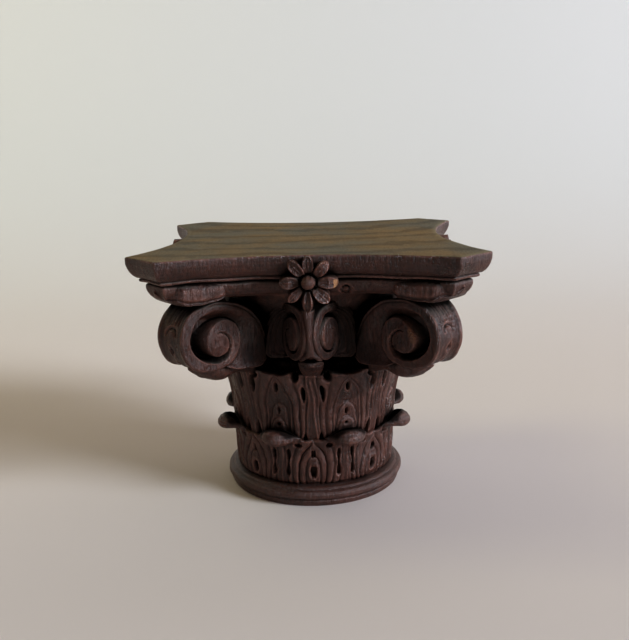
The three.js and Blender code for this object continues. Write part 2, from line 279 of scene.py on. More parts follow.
@dataclass(frozen=True)
class Chip:
    """A place where wood has broken off along a plane."""

    centre: tuple[float, float, float]
    radius: float
    facing: tuple[float, float, float]
    bare: float = 1.0

    def cut(self, spots: np.ndarray, uneven: Waves) -> tuple[np.ndarray, np.ndarray]:
        """Cuts the chip.

        Args:
            spots: Vertices in millimetres.
            uneven: Roughness of the broken face.

        Returns:
            The moved vertices and how bare the wood is at each.
        """
        facing = np.array(self.facing) / np.linalg.norm(self.facing)
        offset = spots - np.array(self.centre)
        near = np.linalg.norm(offset, axis=1) < self.radius
        proud = offset @ facing + 0.25 * uneven.at(spots)
        over = near & (proud > 0.0)
        moved = spots - np.where(over, proud, 0.0)[:, None] * facing
        return moved, over * self.bare


class Shade:
    """How closed in each place on the wood is, from rays cast about the carved pieces."""

    REACH = 45.0
    LIFT = 0.5
    CELL = 1.1
    NORMAL_STEPS = 1.4
    RAYS = 26
    QUICK_RAYS = 10
    GRAZING = 0.15
    FADE = 0.6
    BURIED = 0.3

    def __init__(self, pieces: Sequence[bpy.types.Object]) -> None:
        """Keeps the pieces as one tree of faces and spreads the rays evenly.

        Args:
            pieces: All the carved pieces.
        """
        whole = bmesh.new()
        for piece in pieces:
            whole.from_mesh(piece.data)
        self.tree = BVHTree.FromBMesh(whole)
        whole.free()
        count = self.RAYS
        turns = np.arange(count) * math.pi * (3.0 - math.sqrt(5.0))
        height = 1.0 - 2.0 * (np.arange(count) + 0.5) / count
        flat = np.sqrt(1.0 - height**2)
        self.ways = np.stack([flat * np.cos(turns), flat * np.sin(turns), height], axis=1)

    def blocked(self, spot: np.ndarray, normal: np.ndarray) -> float:
        """Casts the rays from one spot.

        Args:
            spot: The spot in millimetres.
            normal: The way the surface faces there.

        Returns:
            Share of the open directions that meet wood close by; no number inside the wood.
        """
        facing = self.ways @ normal
        seen = facing > self.GRAZING
        start = Vector((spot + normal * self.LIFT) * MM)
        reach = self.REACH * MM
        met = 0.0
        total = 0.0
        inside = 0.0
        for way, weight in zip(self.ways[seen], facing[seen]):
            _, surface, _, distance = self.tree.ray_cast(start, Vector(way), reach)
            total += weight
            if distance is not None:
                met += weight * (1.0 - self.FADE * distance / reach)
                inside += weight * (surface.dot(Vector(way)) > 0.0)
        return met / total if inside < self.BURIED * total else math.nan

    def at(self, spots: np.ndarray, normals: np.ndarray) -> np.ndarray:
        """Reads the shade at many spots, once for each small cell of one quarter.

        Args:
            spots: Vertices in millimetres.
            normals: Their normals.

        Returns:
            Values from 0, open, to 1, closed in.
        """
        quarter = np.floor((np.arctan2(spots[:, 1], spots[:, 0]) + math.pi) / (math.pi / 2.0))
        turn = -quarter * math.pi / 2.0
        cos, sin = np.round(np.cos(turn)), np.round(np.sin(turn))

        def folded(rows: np.ndarray) -> np.ndarray:
            """Rows of x, y, z turned into the first quarter."""
            x, y, z = rows.T
            return np.stack([x * cos - y * sin, x * sin + y * cos, z], axis=1)

        spot, normal = folded(spots), folded(normals)
        keys = np.concatenate([np.round(spot / self.CELL), np.round(normal * self.NORMAL_STEPS)], axis=1)
        _, first, back = np.unique(keys.astype(int), axis=0, return_index=True, return_inverse=True)
        values = np.array([self.blocked(spot[i], normal[i]) for i in first])
        return values[back.ravel()]


class Carver:
    """Gives each piece its hand-carved unevenness and the masks that its finish reads, painted shade among
    them.

    All sizes are millimetres: the flat ends stay level within LEVEL_BAND, WIDEST keeps the wood inside
    its block, and a mask is full at its depth.
    """

    LEVEL_BAND = 8.0
    WIDEST = 99.97
    FINE_REACH = 0.8
    SHADE_REACH = 1.1
    WIDE_REACH = 2.2
    GROOVE_DEPTH = 0.9
    RIDGE_HEIGHT = 1.6
    EDGE_HEIGHT = 0.16

    def __init__(self) -> None:
        """Sets up the unevenness."""
        self.sway = [Waves(seed, 30.0) for seed in (11, 12, 13)]
        self.tool = Waves(21, 5.0, rise=2.5)
        self.break_face = Waves(31, 2.2)

    @staticmethod
    def smoothed(values: np.ndarray, edges: np.ndarray, rounds: int) -> np.ndarray:
        """Values averaged with their neighbours along the mesh.

        Args:
            values: One row for each vertex.
            edges: Pairs of vertices.
            rounds: How many times the values are averaged.

        Returns:
            The smoothed rows.
        """
        count = len(values)
        start, end = edges.T
        degree = np.bincount(edges.ravel(), minlength=count)
        degree = np.maximum(degree, 1)
        for _ in range(rounds):
            near = [
                np.bincount(start, column[end], count) + np.bincount(end, column[start], count)
                for column in values.T
            ]
            values = 0.4 * values + 0.6 * np.stack(near, axis=1) / degree[:, None]
        return values

    def roughen(self, piece: bpy.types.Object, sway: float, tool: float, chips: Sequence[Chip]) -> None:
        """Roughens a piece as a hand would and cuts its chips.

        Args:
            piece: The piece.
            sway: Slow unevenness in millimetres.
            tool: Height of the tool marks in millimetres.
            chips: Chips on the piece.
        """
        spots = spots_of(piece)
        drift = np.stack([wave.at(spots) for wave in self.sway], axis=1) * sway
        z = spots[:, 2]
        drift[:, 2] *= ease(0.0, self.LEVEL_BAND, z) * ease(HEIGHT, HEIGHT - self.LEVEL_BAND, z)
        spots = spots + drift + normals_of(piece) * (self.tool.at(spots) * tool)[:, None]
        bare = np.zeros(len(spots))
        for chip in chips:
            spots, broken = chip.cut(spots, self.break_face)
            bare = np.maximum(bare, broken)
        spots[:, :2] = np.clip(spots[:, :2], -self.WIDEST, self.WIDEST)
        spots[:, 2] = np.clip(spots[:, 2], 0.0, HEIGHT)
        move_spots(piece, spots)
        self.write(piece, "bare", bare)

    def mask(self, piece: bpy.types.Object, step: float, shade: Shade) -> None:
        """Writes how shaded, grooved and worn each place on a piece is.

        Args:
            piece: The roughened piece.
            step: Typical distance between vertices in millimetres.
            shade: How closed in each place is.
        """
        spots = spots_of(piece)
        normals = normals_of(piece)
        edges = np.empty(len(piece.data.edges) * 2, np.int32)
        piece.data.edges.foreach_get("vertices", edges)
        edges = edges.reshape(-1, 2)
        fine = self.smoothed(spots, edges, max(2, round((self.FINE_REACH / step) ** 2)))
        wide = self.smoothed(fine, edges, max(4, round((self.WIDE_REACH / step) ** 2)))
        sharp = ((fine - spots) * normals).sum(axis=1)
        deep = ((wide - spots) * normals).sum(axis=1)
        # Painted shade: the finish darkens the closed-in places that this mask marks.
        closed = shade.at(spots, normals)
        known = np.isfinite(closed)
        pair = np.stack([np.where(known, closed, 0.0), known.astype(float)], axis=1)
        pair = self.smoothed(pair, edges, max(4, round((self.SHADE_REACH / step) ** 2)))
        # Painted shade: the finish darkens the places sunk below their neighbours.
        groove = np.clip(deep / self.GROOVE_DEPTH, 0.0, 1.0)
        worn = -deep / self.RIDGE_HEIGHT - sharp / self.EDGE_HEIGHT
        self.write(piece, "shade", pair[:, 0] / np.maximum(pair[:, 1], 0.01))
        # The groove mask also carries the painted shade of the recesses between the parts.
        self.write(piece, "groove", np.maximum(groove, self.recess_shade(spots)))
        self.write(piece, "worn", np.clip(worn, 0.0, 1.0))

    @staticmethod
    def recess_shade(spots: np.ndarray) -> np.ndarray:
        """Painted shade between the scrolls, above the upper leaves and on the ledge behind the lower tips.

        Args:
            spots: Vertices in millimetres.

        Returns:
            Values from 0, unshaded, to 1, black.
        """
        reach = np.hypot(spots[:, 0], spots[:, 1])
        z = spots[:, 2]
        back = 0.8 * ease(73.0, 60.0, reach) * within(88.0, 128.0, z, 5.0)
        low = 0.7 * ease(84.0, 68.0, reach) * within(88.0, 107.0, z, 6.0)
        ledge = ease(54.6, 56.0, reach) * ease(64.6, 60.5, reach) * within(44.5, 54.0, z, 2.0)
        return 0.9 * np.maximum.reduce([back, low, ledge])

    @staticmethod
    def write(piece: bpy.types.Object, name: str, values: np.ndarray) -> None:
        """Stores one value for each vertex of a piece under a name."""
        attribute = piece.data.attributes.new(name, "FLOAT", "POINT")
        attribute.data.foreach_set("value", values.astype(np.float32))


@dataclass(frozen=True)
class Finishes:
    """The built finishes."""

    wood: bpy.types.Material
    end_grain: bpy.types.Material


@dataclass(kw_only=True)
class Carving:
    """A sub-assembly: its sizes, and the methods that build and dress its pieces.

    Attributes:
        name: Name of the piece, or of each of its copies before their numbers.
        count: How many copies stand round the axis.
        sway: Slow unevenness in millimetres.
        tool: Height of the tool marks in millimetres.
        step: Typical distance between vertices in millimetres.
        pieces: The built pieces.
    """

    name: str
    count: int
    sway: float
    tool: float
    step: float
    pieces: list[bpy.types.Object] = field(default_factory=list)

    def model(self) -> bpy.types.Object:
        """The first piece, before it is roughened."""
        raise NotImplementedError

    def build(self, carver: Carver, chips: dict[str, list[Chip]]) -> None:
        """Models the pieces and roughens each one on its own.

        Args:
            carver: What roughens them.
            chips: Chips by the name of the piece that they are on.
        """
        self.pieces = copy_round(self.model(), self.count, self.name)
        for piece in self.pieces:
            carver.roughen(piece, self.sway, self.tool, chips.get(piece.name, []))
            LOG.info("%s: %d faces", piece.name, len(piece.data.polygons))

    def paint(self, piece: bpy.types.Object, finishes: Finishes) -> None:
        """Gives a piece its finish."""
        piece.data.materials.append(finishes.wood)

    def dress(self, carver: Carver, shade: Shade, finishes: Finishes) -> None:
        """Masks, paints and places the pieces.

        Args:
            carver: What writes the masks.
            shade: How closed in each place is.
            finishes: The finishes.
        """
        for piece in self.pieces:
            carver.mask(piece, self.step, shade)
            self.paint(piece, finishes)
            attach(piece, BODY)
            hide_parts(NODE)


@dataclass(kw_only=True)
class CarvedSheet(Carving):
    """A sub-assembly whose piece is one closed grid, put in place point by point."""

    columns: int
    rows: int

    def place(self, u: np.ndarray, v: np.ndarray) -> np.ndarray:
        """Places the grid.

        Args:
            u: Shares of the grid's columns, round or across the piece.
            v: Shares of its rows, out or up and back again.

        Returns:
            x, y, z in millimetres.
        """
        raise NotImplementedError

    def model(self) -> bpy.types.Object:
        """The first piece, before it is roughened."""
        return carved_sheet(self.name, self.columns, self.rows, self.place)


@dataclass(kw_only=True)
class Foot(Carving):
    """The turned foot, raised ring by ring from a disc."""

    profile: Pairs = (
        (55.0, 0.0), (55.7, 0.5), (56.2, 2.2), (56.3, 3.2), (56.0, 3.9), (56.3, 4.5), (57.4, 5.4),
        (58.0, 6.7), (57.9, 8.1), (57.2, 9.3), (56.0, 10.0), (55.0, 10.3), (54.7, 10.9), (54.0, 11.5),
        (52.4, 11.9), (50.4, 12.2), (48.6, 12.6), (46.0, 14.0),
    )
    sides: int = 220
    smooth_rows: int = 3

    def model(self) -> bpy.types.Object:
        """Turns the foot out of a disc, ring by ring.

        Returns:
            The foot.
        """
        deselect()
        radius = self.profile[0][0]
        bpy.ops.mesh.primitive_circle_add(
            vertices=self.sides, radius=radius * MM, fill_type="TRIFAN", location=(0.0, 0.0, 0.0)
        )
        foot = bpy.context.object
        foot.name = foot.data.name = self.name
        bpy.ops.object.mode_set(mode="EDIT")
        bpy.ops.mesh.select_all(action="SELECT")
        for wide, height in self.rows()[1:]:
            rise = height * MM - max(v.co.z for v in self.current(foot))
            bpy.ops.mesh.extrude_region_move(TRANSFORM_OT_translate={"value": (0.0, 0.0, rise)})
            share = wide / radius
            bpy.ops.transform.resize(value=(share, share, 1.0), center_override=(0.0, 0.0, 0.0))
            radius = wide
        bpy.ops.object.mode_set(mode="OBJECT")
        close_seams(foot)
        return foot

    def rows(self) -> list[tuple[float, float]]:
        """Puts extra rows between the points of the profile.

        Returns:
            Radius and height of each row.
        """
        steps = np.arange(len(self.profile))
        fine = np.linspace(0, steps[-1], steps[-1] * self.smooth_rows + 1)
        radii, heights = np.array(self.profile).T
        return list(zip(np.interp(fine, steps, radii), np.interp(fine, steps, heights)))

    @staticmethod
    def current(piece: bpy.types.Object) -> list[bpy.types.MeshVertex]:
        """The vertices of a piece in edit mode, up to date."""
        piece.update_from_editmode()
        return [v for v in piece.data.vertices if v.select]


@dataclass(kw_only=True)
class Bell(CarvedSheet):
    """The plain bell that shows between the scrolls."""

    profile: Pairs = (
        (45.0, 76.0), (46.0, 80.0), (47.2, 92.0), (50.0, 101.0), (53.6, 111.0), (57.0, 121.0),
        (61.0, 130.0), (66.4, 137.0),
    )
    below_share: float = 0.08
    above_share: float = 0.1

    def place(self, u: np.ndarray, v: np.ndarray) -> np.ndarray:
        """Places the bell's grid: from its middle out, up the side and back in above.

        Args:
            u: Shares of the way round.
            v: Shares of the way up.

        Returns:
            x, y, z in millimetres.
        """
        low, high = self.profile[0][1], self.profile[-1][1]
        above = 1.0 - self.above_share
        up = np.interp(v, (0.0, self.below_share, above, 1.0), (low, low, high, high))
        side = flow([(z, r) for r, z in self.profile], up)
        inwards = np.where(v > above, side * (1.0 - v) / self.above_share, side)
        radius = np.where(v < self.below_share, side * v / self.below_share, inwards)
        return on_ring(np.radians(360.0 * wrap(u)), radius, up)


@dataclass(kw_only=True)
class LeafRing(CarvedSheet):
    """A sleeve of eight leaves: carved face outside, rim above, plain behind."""

    first: float
    foot: float
    face: Pairs
    rim: Pairs
    behind: float
    seed: int
    radius: float = 55.0
    wander_radius: float = 54.0
    swing: float = 1.15
    lift: float = 0.8
    rim_wander: float = 0.45
    streak: float = 0.06
    face_share: float = 0.8
    lip_share: float = 0.06
    lip: float = 1.3
    round_lip: float = 0.9

    def __post_init__(self) -> None:
        """Sets up the wander of the carver's lines."""
        self.wander = Waves(self.seed, 26.0)
        self.streaks = Waves(self.seed + 1, 1.9, count=34, rise=16.0)
        self.rim_wave = Waves(self.seed + 2, 9.0)

    def relief(self, s: np.ndarray, z: np.ndarray, corner: np.ndarray) -> np.ndarray:
        """Height of the carving.

        Args:
            s: Signed distance from the leaf's midrib.
            z: Height.
            corner: 1 on the leaves under the corner scrolls, 0 on the others.

        Returns:
            Height above the leaf's plain face.
        """
        raise NotImplementedError

    def from_midrib(self, degrees: np.ndarray) -> np.ndarray:
        """Signed angle from the nearest midrib, in degrees."""
        leaf = 360.0 / LEAVES
        return (degrees - self.first + leaf / 2.0) % leaf - leaf / 2.0

    def local(self, degrees: np.ndarray, z: np.ndarray) -> tuple[np.ndarray, np.ndarray]:
        """Distance from the nearest midrib and height, with the carver's wander.

        Args:
            degrees: Angle round the axis from the front.
            z: Height.

        Returns:
            Signed distance in millimetres and height.
        """
        spots = on_ring(np.radians(degrees), self.wander_radius, z)
        s = self.from_midrib(degrees) * math.pi / 180.0 * self.radius
        swing = self.swing * self.wander.at(spots)
        lift = self.lift * self.wander.at(spots + 400.0)
        return s + swing * ease(21.6, 18.0, np.abs(s)), z + lift

    def place(self, u: np.ndarray, v: np.ndarray) -> np.ndarray:
        """Places the sleeve's grid: up the carved face, over the lip and down behind.

        Args:
            u: Shares of the way round.
            v: Shares of the way up, over and down.

        Returns:
            x, y, z in millimetres.
        """
        degrees = 360.0 * wrap(u)
        turn = np.radians(degrees)
        v = wrap(v)
        across = np.abs(self.from_midrib(degrees)) / (180.0 / LEAVES)
        rim_wave = self.rim_wave.at(on_ring(turn, self.radius, 0.0 * v))
        top = flow(self.rim, across) + self.rim_wander * rim_wave
        z = self.foot + (top - self.foot) * np.clip(v / self.face_share, 0.0, 1.0)
        s, warped = self.local(degrees, z)
        corner = ease(0.2, -0.2, np.cos(4.0 * turn))
        streak = self.streak * self.streaks.at(on_ring(turn, self.radius, z))
        outer = flow(self.face, z) + self.relief(s, warped, corner) + streak
        over = np.clip((v - self.face_share) / self.lip_share, 0.0, 1.0) * math.pi / 2.0
        behind_share = 1.0 - self.lip_share - self.face_share
        down = np.clip((v - self.face_share - self.lip_share) / behind_share, 0.0, 1.0)
        lip = outer - self.lip * (1.0 - np.cos(over))
        radius = np.where(down > 0.0, lip + (self.behind - lip) * ease(0.0, 0.3, down), lip)
        height = z + self.round_lip * np.sin(over)
        height = height + (self.foot - height) * ease(0.1, 1.0, down)
        return on_ring(turn, radius, height)


def line(distance: np.ndarray, width: float, depth: float) -> np.ndarray:
    """Groove (negative depth) or ridge (positive) along a line at no distance."""
    return depth * bump(distance, width)


def pit(across: np.ndarray, up: np.ndarray, half: tuple[float, float], depth: float) -> np.ndarray:
    """Steep-walled drilled eye, an oval of the given half width and half height."""
    reach = np.sqrt((across / half[0]) ** 2 + (up / half[1]) ** 2)
    return -depth * ease(1.25, 0.7, reach)


def within(low: float, high: float, z: np.ndarray, soft: float = 1.5) -> np.ndarray:
    """1 between two heights, fading to 0 outside them."""
    return ease(low - soft, low + soft, z) * ease(high + soft, high - soft, z)


def pipes(at: np.ndarray, edges: Sequence[np.ndarray], height: float) -> np.ndarray:
    """Rounded flutes between neighbouring edges.

    Args:
        at: Place across the flutes.
        edges: The edges' places, rising, each over the same rows.
        height: Height of a flute above the valleys.

    Returns:
        Height of the surface, 0 outside the edges.
    """
    high = np.zeros_like(at)
    for low, top in zip(edges, edges[1:]):
        share = np.clip((at - low) / np.maximum(top - low, 0.4), 0.0, 1.0)
        full = height * np.clip((top - low) / 2.2, 0.0, 1.0)
        high = high + full * (1.0 - np.abs(2.0 * share - 1.0) ** FLUTE_POWER)
    return high


class LowerLeaves(LeafRing):
    """Lower ring: fluted leaves with a ringed bud where two of them meet."""

    HALF = 20.8
    BUD = 20.6
    RIB = ((12.0, 4.6), (20.0, 3.7), (28.0, 2.9), (36.0, 2.3), (44.0, 2.0))
    ARCH = ((12.0, 8.2), (22.0, 8.9), (29.0, 7.7), (34.0, 5.2), (37.5, 2.2), (39.5, 0.4), (46.0, 0.4))
    BUD_SIDE = ((12.0, 4.3), (20.0, 4.7), (25.0, 3.9), (29.0, 2.2), (31.5, 0.0), (46.0, 0.0))

    def relief(self, s: np.ndarray, z: np.ndarray, corner: np.ndarray) -> np.ndarray:
        """Carving of the lower ring.

        Args:
            s: Signed distance from the leaf's midrib.
            z: Height.
            corner: 1 on the leaves under the corner scrolls, 0 on the others; not used by the lower ring.

        Returns:
            Height above the leaf's plain face.
        """
        side = np.abs(s)
        edge = self.HALF - side
        rib, arch, bud = flow(self.RIB, z), flow(self.ARCH, z), flow(self.BUD_SIDE, z)
        middle = rib + 0.52 * (self.HALF - arch - rib)
        high = pipes(side, [rib, middle, self.HALF - arch], 1.3) + pipes(edge, [bud, arch], 1.15)
        high += 0.75 * ease(rib + 0.1, rib - 0.9, side) + line(s - 0.8 - 0.05 * (z - 26.0), 0.55, 0.45)
        high += 0.8 * ease(bud + 0.1, bud - 1.1, edge)
        high += line(edge - arch, 0.45, -0.55) * ease(39.0, 36.5, z)
        high += line(np.hypot(edge / 2.5, (z - self.BUD) / 5.0) * 2.0 - 2.0, 0.5, 0.4)
        eye = z - 33.2
        high += pit(side - 5.2, eye * (1.0 + 0.08 * eye), (1.15, 3.2), 5.0)
        high += pit(edge, (z - self.BUD) * (1.0 + 0.05 * (z - self.BUD)), (1.4, 3.1), 4.4)
        high += pit(edge, z - 32.6, (0.6, 2.6), 3.4)
        high += pit(side - 11.6, z - 38.6, (2.2, 1.1), 4.6)
        flare = 1.6 * ease(38.0, 42.5, z) * ease(13.0, 8.0, side)
        return high - 0.8 + flare - 0.9 * ease(14.4, 12.6, z)


class UpperLeaves(LeafRing):
    """Upper ring: tall leaves with pierced rims and stacked pointed scales between them."""

    HALF = 21.6
    RIB = ((38.0, 6.2), (46.0, 5.5), (55.0, 4.5), (65.0, 3.7), (78.0, 3.5), (90.0, 3.8))
    ARCH = (
        (38.0, 8.3), (50.0, 8.7), (60.0, 8.5), (68.0, 7.3), (74.0, 5.3), (79.0, 2.7), (82.5, 0.2),
        (92.0, 0.0),
    )
    STRAY_VEIN = ((38.0, 3.4), (50.0, 2.2), (62.0, 0.7), (80.0, -0.3))
    SCALES = (
        (((38.0, 5.8), (56.0, 5.6), (60.0, 4.7), (63.0, 2.8), (65.2, 0.0), (92.0, 0.0)), 65.2),
        (((38.0, 5.0), (49.0, 4.8), (52.0, 4.2), (54.2, 2.6), (55.6, 0.0), (92.0, 0.0)), 55.6),
    )

    def relief(self, s: np.ndarray, z: np.ndarray, corner: np.ndarray) -> np.ndarray:
        """Carving of the upper ring.

        Args:
            s: Signed distance from the leaf's midrib.
            z: Height.
            corner: 1 on the leaves under the corner scrolls, 0 on the others.

        Returns:
            Height above the leaf's plain face.
        """
        side = np.abs(s)
        edge = self.HALF - side
        rib, arch = flow(self.RIB, z), flow(self.ARCH, z)
        span = self.HALF - arch - rib
        high = pipes(side, [rib, rib + 0.46 * span, rib + span], 1.15)
        high += 1.0 * ease(rib + 0.1, rib - 0.9, side) + line(side - rib + 0.7, 0.6, 0.4)
        stray = s - flow(self.STRAY_VEIN, z)
        high += (line(stray, 0.6, 0.5) + line(stray - 1.7, 0.7, -0.6)) * within(40.0, 82.0, z)
        high += line(edge - arch - 0.5, 0.5, -0.45) * ease(82.5, 80.0, z)
        high += line(edge - arch + 0.6, 0.5, 0.65) * ease(83.0, 78.0, z)
        for widths, top in self.SCALES:
            width = flow(widths, z)
            high += 0.5 * ease(width + 0.2, width - 0.9, edge) * ease(top + 0.3, top - 1.4, z)
            high += line(edge - width - 0.5, 0.5, -0.55) * ease(top + 1.0, top - 1.5, z)
            high += -0.7 * bump(z - top - 0.7, 0.6) * ease(2.8, 0.8, edge)
        eye = z - 73.4 - 4.0 * corner
        wide = 1.25 + 0.7 * corner
        high += -5.4 * ease(1.25, 0.7, np.hypot((side - 5.6) / wide, eye * (1.0 + 0.03 * eye) / 4.9))
        high += pit(edge, z - 75.3, (1.15, 2.7), 4.4)
        high += pit(edge, z - 59.4, (0.85, 2.0), 3.6)
        high += pit(edge, z - 51.6, (1.2, 0.9), 1.6)
        high += pit(side - 9.6 + 1.8 * corner, (z - 84.0) * (1.0 - 0.1 * (side - 9.6)), (2.1, 3.0), 6.5)
        return high - 0.8 + 0.7 * ease(83.2, 84.6, z)


def path_shares(points: Pairs) -> tuple[np.ndarray, np.ndarray]:
    """Measures a profile along its points.

    Args:
        points: The profile, point by point.

    Returns:
        The points as rows, and each one's share of the way from first to last.
    """
    path = np.array(points)
    run = np.concatenate([[0.0], np.cumsum(np.linalg.norm(np.diff(path, axis=0), axis=1))])
    return path, run / run[-1]


@dataclass(kw_only=True)
class CurledTip(CarvedSheet):
    """A leaf's curled end: two outlines, above and below, as wide as a curve says."""

    place_at: Place
    above: Pairs
    below: Pairs
    widths: Pairs
    lobes: int
    crown: float = 0.0
    lobe: float = 0.0
    thin: float
    rib: float
    blunt: float = 0.5
    ends: tuple[float, float] | None = None

    @staticmethod
    def edge(points: Pairs, share: np.ndarray) -> tuple[np.ndarray, np.ndarray]:
        """Reads an outline by its share of the way from root to tip.

        Args:
            points: The outline as outward distance and height.
            share: Shares from 0 at the root to 1 at the tip.

        Returns:
            Outward distance and height.
        """
        path, run = path_shares(points)
        out = flow(list(zip(run, path[:, 0])), share)
        up = flow(list(zip(run, path[:, 1])), share)
        return out, up

    def place(self, u: np.ndarray, v: np.ndarray) -> np.ndarray:
        """Places the tip's grid: across from side to side, and out above and back below.

        Args:
            u: Shares of the way across.
            v: Shares of the way out and back.

        Returns:
            x, y, z in millimetres.
        """
        across = -np.cos(math.pi * u)
        share = 1.0 - np.abs(2.0 * v - 1.0)
        top = v <= 0.5
        out_above, up_above = self.edge(self.above, share)
        out_below, up_below = self.edge(self.below, share)
        body = np.clip(1.0 - np.abs(across) ** self.thin, 0.0, 1.0) ** self.blunt
        mid_out = (out_above + out_below) / 2.0
        mid_up = (up_above + up_below) / 2.0
        out = mid_out + (np.where(top, out_above, out_below) - mid_out) * body
        up = mid_up + (np.where(top, up_above, up_below) - mid_up) * body
        out = out - self.crown * across**2 * ease(0.25, 0.75, share)
        if self.ends:
            pull = np.abs(across) ** 2.2
            out = out + (self.ends[0] - out) * pull
            up = up + (self.ends[1] - up) * pull
        out = out + self.lobe * np.cos(across * self.lobes * math.pi) * ease(0.6, 1.0, share)
        ribs = self.rib * (np.cos(across * (self.lobes + 2) * math.pi) - 1.4 * bump(across, 0.07))
        up = up + np.where(top, 1.0, 0.35) * ribs * body * ease(0.1, 0.4, share) * ease(1.0, 0.85, share)
        return around(self.place_at.value, out, across * flow(self.widths, share), up)


@dataclass(kw_only=True)
class ScrollPair(CarvedSheet):
    """Two scroll faces back to back, joined by the rim of the rolled band."""

    place_at: Place
    front: float
    front_half_width: float
    wedge: float
    eye: tuple[float, float]
    stretch: tuple[float, float]
    bend: float
    depth_share: float
    rings: int
    decorated: bool
    reeds: float = 0.0
    outer: Pairs = (
        (-622.0, 4.0), (-605.0, 4.3), (-591.0, 5.3), (-567.0, 6.9), (-548.0, 8.3), (-531.0, 10.0),
        (-506.0, 10.9), (-479.0, 10.2), (-452.0, 9.0), (-421.0, 7.3), (-400.0, 6.4), (-373.0, 5.6),
        (-350.0, 5.4), (-331.0, 5.6), (-303.0, 6.3), (-280.0, 8.0), (-262.0, 9.9), (-250.0, 11.5),
        (-237.0, 13.2), (-222.0, 14.8), (-208.0, 16.0), (-193.0, 16.7), (-171.0, 17.2), (-147.0, 17.8),
        (-115.0, 17.8), (-94.0, 17.9), (-69.0, 18.7), (-43.0, 20.0), (-20.0, 20.7), (5.0, 21.2),
        (30.0, 21.6), (58.0, 21.8), (90.0, 22.4), (130.0, 25.8), (151.0, 29.1), (165.0, 31.5),
        (190.0, 36.6), (203.0, 40.3),
    )
    inner: Pairs = (
        (-262.0, 4.2), (-245.0, 5.1), (-231.0, 6.3), (-207.0, 8.0), (-186.0, 10.0), (-171.0, 11.3),
        (-159.0, 12.2), (-136.0, 13.3), (-112.0, 14.0), (-85.0, 13.6), (-56.0, 13.6), (-24.0, 14.4),
        (2.0, 15.7), (22.0, 16.1), (39.0, 16.5), (60.0, 17.1), (90.0, 18.0), (130.0, 21.6),
        (151.0, 25.6), (165.0, 28.6), (190.0, 33.8), (203.0, 37.6), (212.0, 38.4), (222.0, 30.5),
        (232.0, 25.2), (245.0, 17.8),
    )
    stem_foot: Pairs = (
        (203.0, 40.3), (212.0, 38.0), (222.0, 30.0), (232.0, 25.0), (238.0, 21.5), (245.0, 17.8),
    )
    depths: Pairs = (
        (-268.0, 0.0), (-255.0, 1.2), (-225.0, 2.6), (-193.0, 4.0), (-157.0, 5.6), (-135.0, 7.0),
        (-90.0, 8.6), (0.0, 9.4), (45.0, 8.4), (90.0, 6.2), (130.0, 4.2), (165.0, 2.9), (203.0, 2.4),
        (245.0, 1.5),
    )
    last: float = 245.0

    def outline(self, turn: np.ndarray) -> np.ndarray:
        """Radius of the pair's outline at a turn between last - 360 and last degrees."""
        keys, radii = np.array(self.stem_foot).T
        return np.where(turn > keys[0], np.interp(turn, keys, radii), flow(self.outer, turn))

    def sunk(self, turn: np.ndarray, radius: np.ndarray) -> np.ndarray:
        """Depth of the channel below the face.

        Args:
            turn: Turn angle in degrees, on the first turn.
            radius: Distance from the eye.

        Returns:
            Depths in millimetres.
        """
        depth = np.zeros_like(radius)
        for lap in (0, 1):
            at = turn - 360.0 * lap
            low = flow(self.outer, at - 360.0)
            high = flow(self.inner, at)
            width = np.maximum(high - low, 0.05)
            gentle = ease(40.0, 110.0, at)
            wall = (1.0 - gentle) * np.minimum(1.7, 0.45 * width) + gentle * 0.9 * width
            slope = 1.0 + 3.2 * bump(at - 5.0, 62.0)
            near = ease(0.0, 1.0, (radius - low) / np.minimum(slope, 0.45 * width))
            far = ease(0.0, 1.0, (high - radius) / wall)
            reed = 0.6 * self.reeds * (1.0 - np.cos(8.0 * math.pi * (radius - low) / width))
            reed = reed * ease(95.0, 130.0, at)
            depth = np.maximum(depth, flow(self.depths, at) * near * far + reed * near)
        edge = self.outline(turn)
        bead = 0.8 * bump(radius - edge + 1.9, 0.5) * ease(70.0, 100.0, turn) * ease(215.0, 200.0, turn)
        return (depth + bead) * self.depth_share

    def face_point(self, along: np.ndarray) -> tuple[np.ndarray, np.ndarray]:
        """Outward distance and half width at a distance along the face.

        Args:
            along: Distance from the front edge.

        Returns:
            Outward distance and half width.
        """
        flat = np.minimum(along, self.bend)
        over = along - flat
        out = self.front - flat * math.cos(self.wedge) - over * 0.3
        return out, self.front_half_width + flat * math.sin(self.wedge) + over * 0.9

    def rim_relief(self, turn: np.ndarray, across: np.ndarray, half: np.ndarray) -> np.ndarray:
        """How far the rim lies below its edges, with the carving on the corner scrolls.

        Args:
            turn: Turn angle in degrees.
            across: Signed distance from the middle of the rim.
            half: Half the width of the rim.

        Returns:
            Depths in millimetres.
        """
        share = np.abs(across) / half
        low = 0.9 * ease(0.9, 0.72, share) - 0.5 * ease(0.35, 0.0, share)
        if not self.decorated:
            return low
        run = np.radians(turn) * 21.0
        for groove in (0.0, 2.7, 5.4):
            low += 1.0 * bump(np.abs(across) - groove, 0.55) * within(11.5, 34.0, run, 1.2)
        arch = np.hypot(across, run - 5.2)
        low += 1.7 * bump(arch - 4.3, 0.7) * ease(4.4, 5.6, run)
        low += 1.5 * ease(1.15, 0.75, np.abs(across) / 2.3 + np.abs(run + 4.6) / 3.4)
        low += 1.2 * ease(1.3, 0.7, np.hypot(across, run + 14.0) / 1.2)
        return low

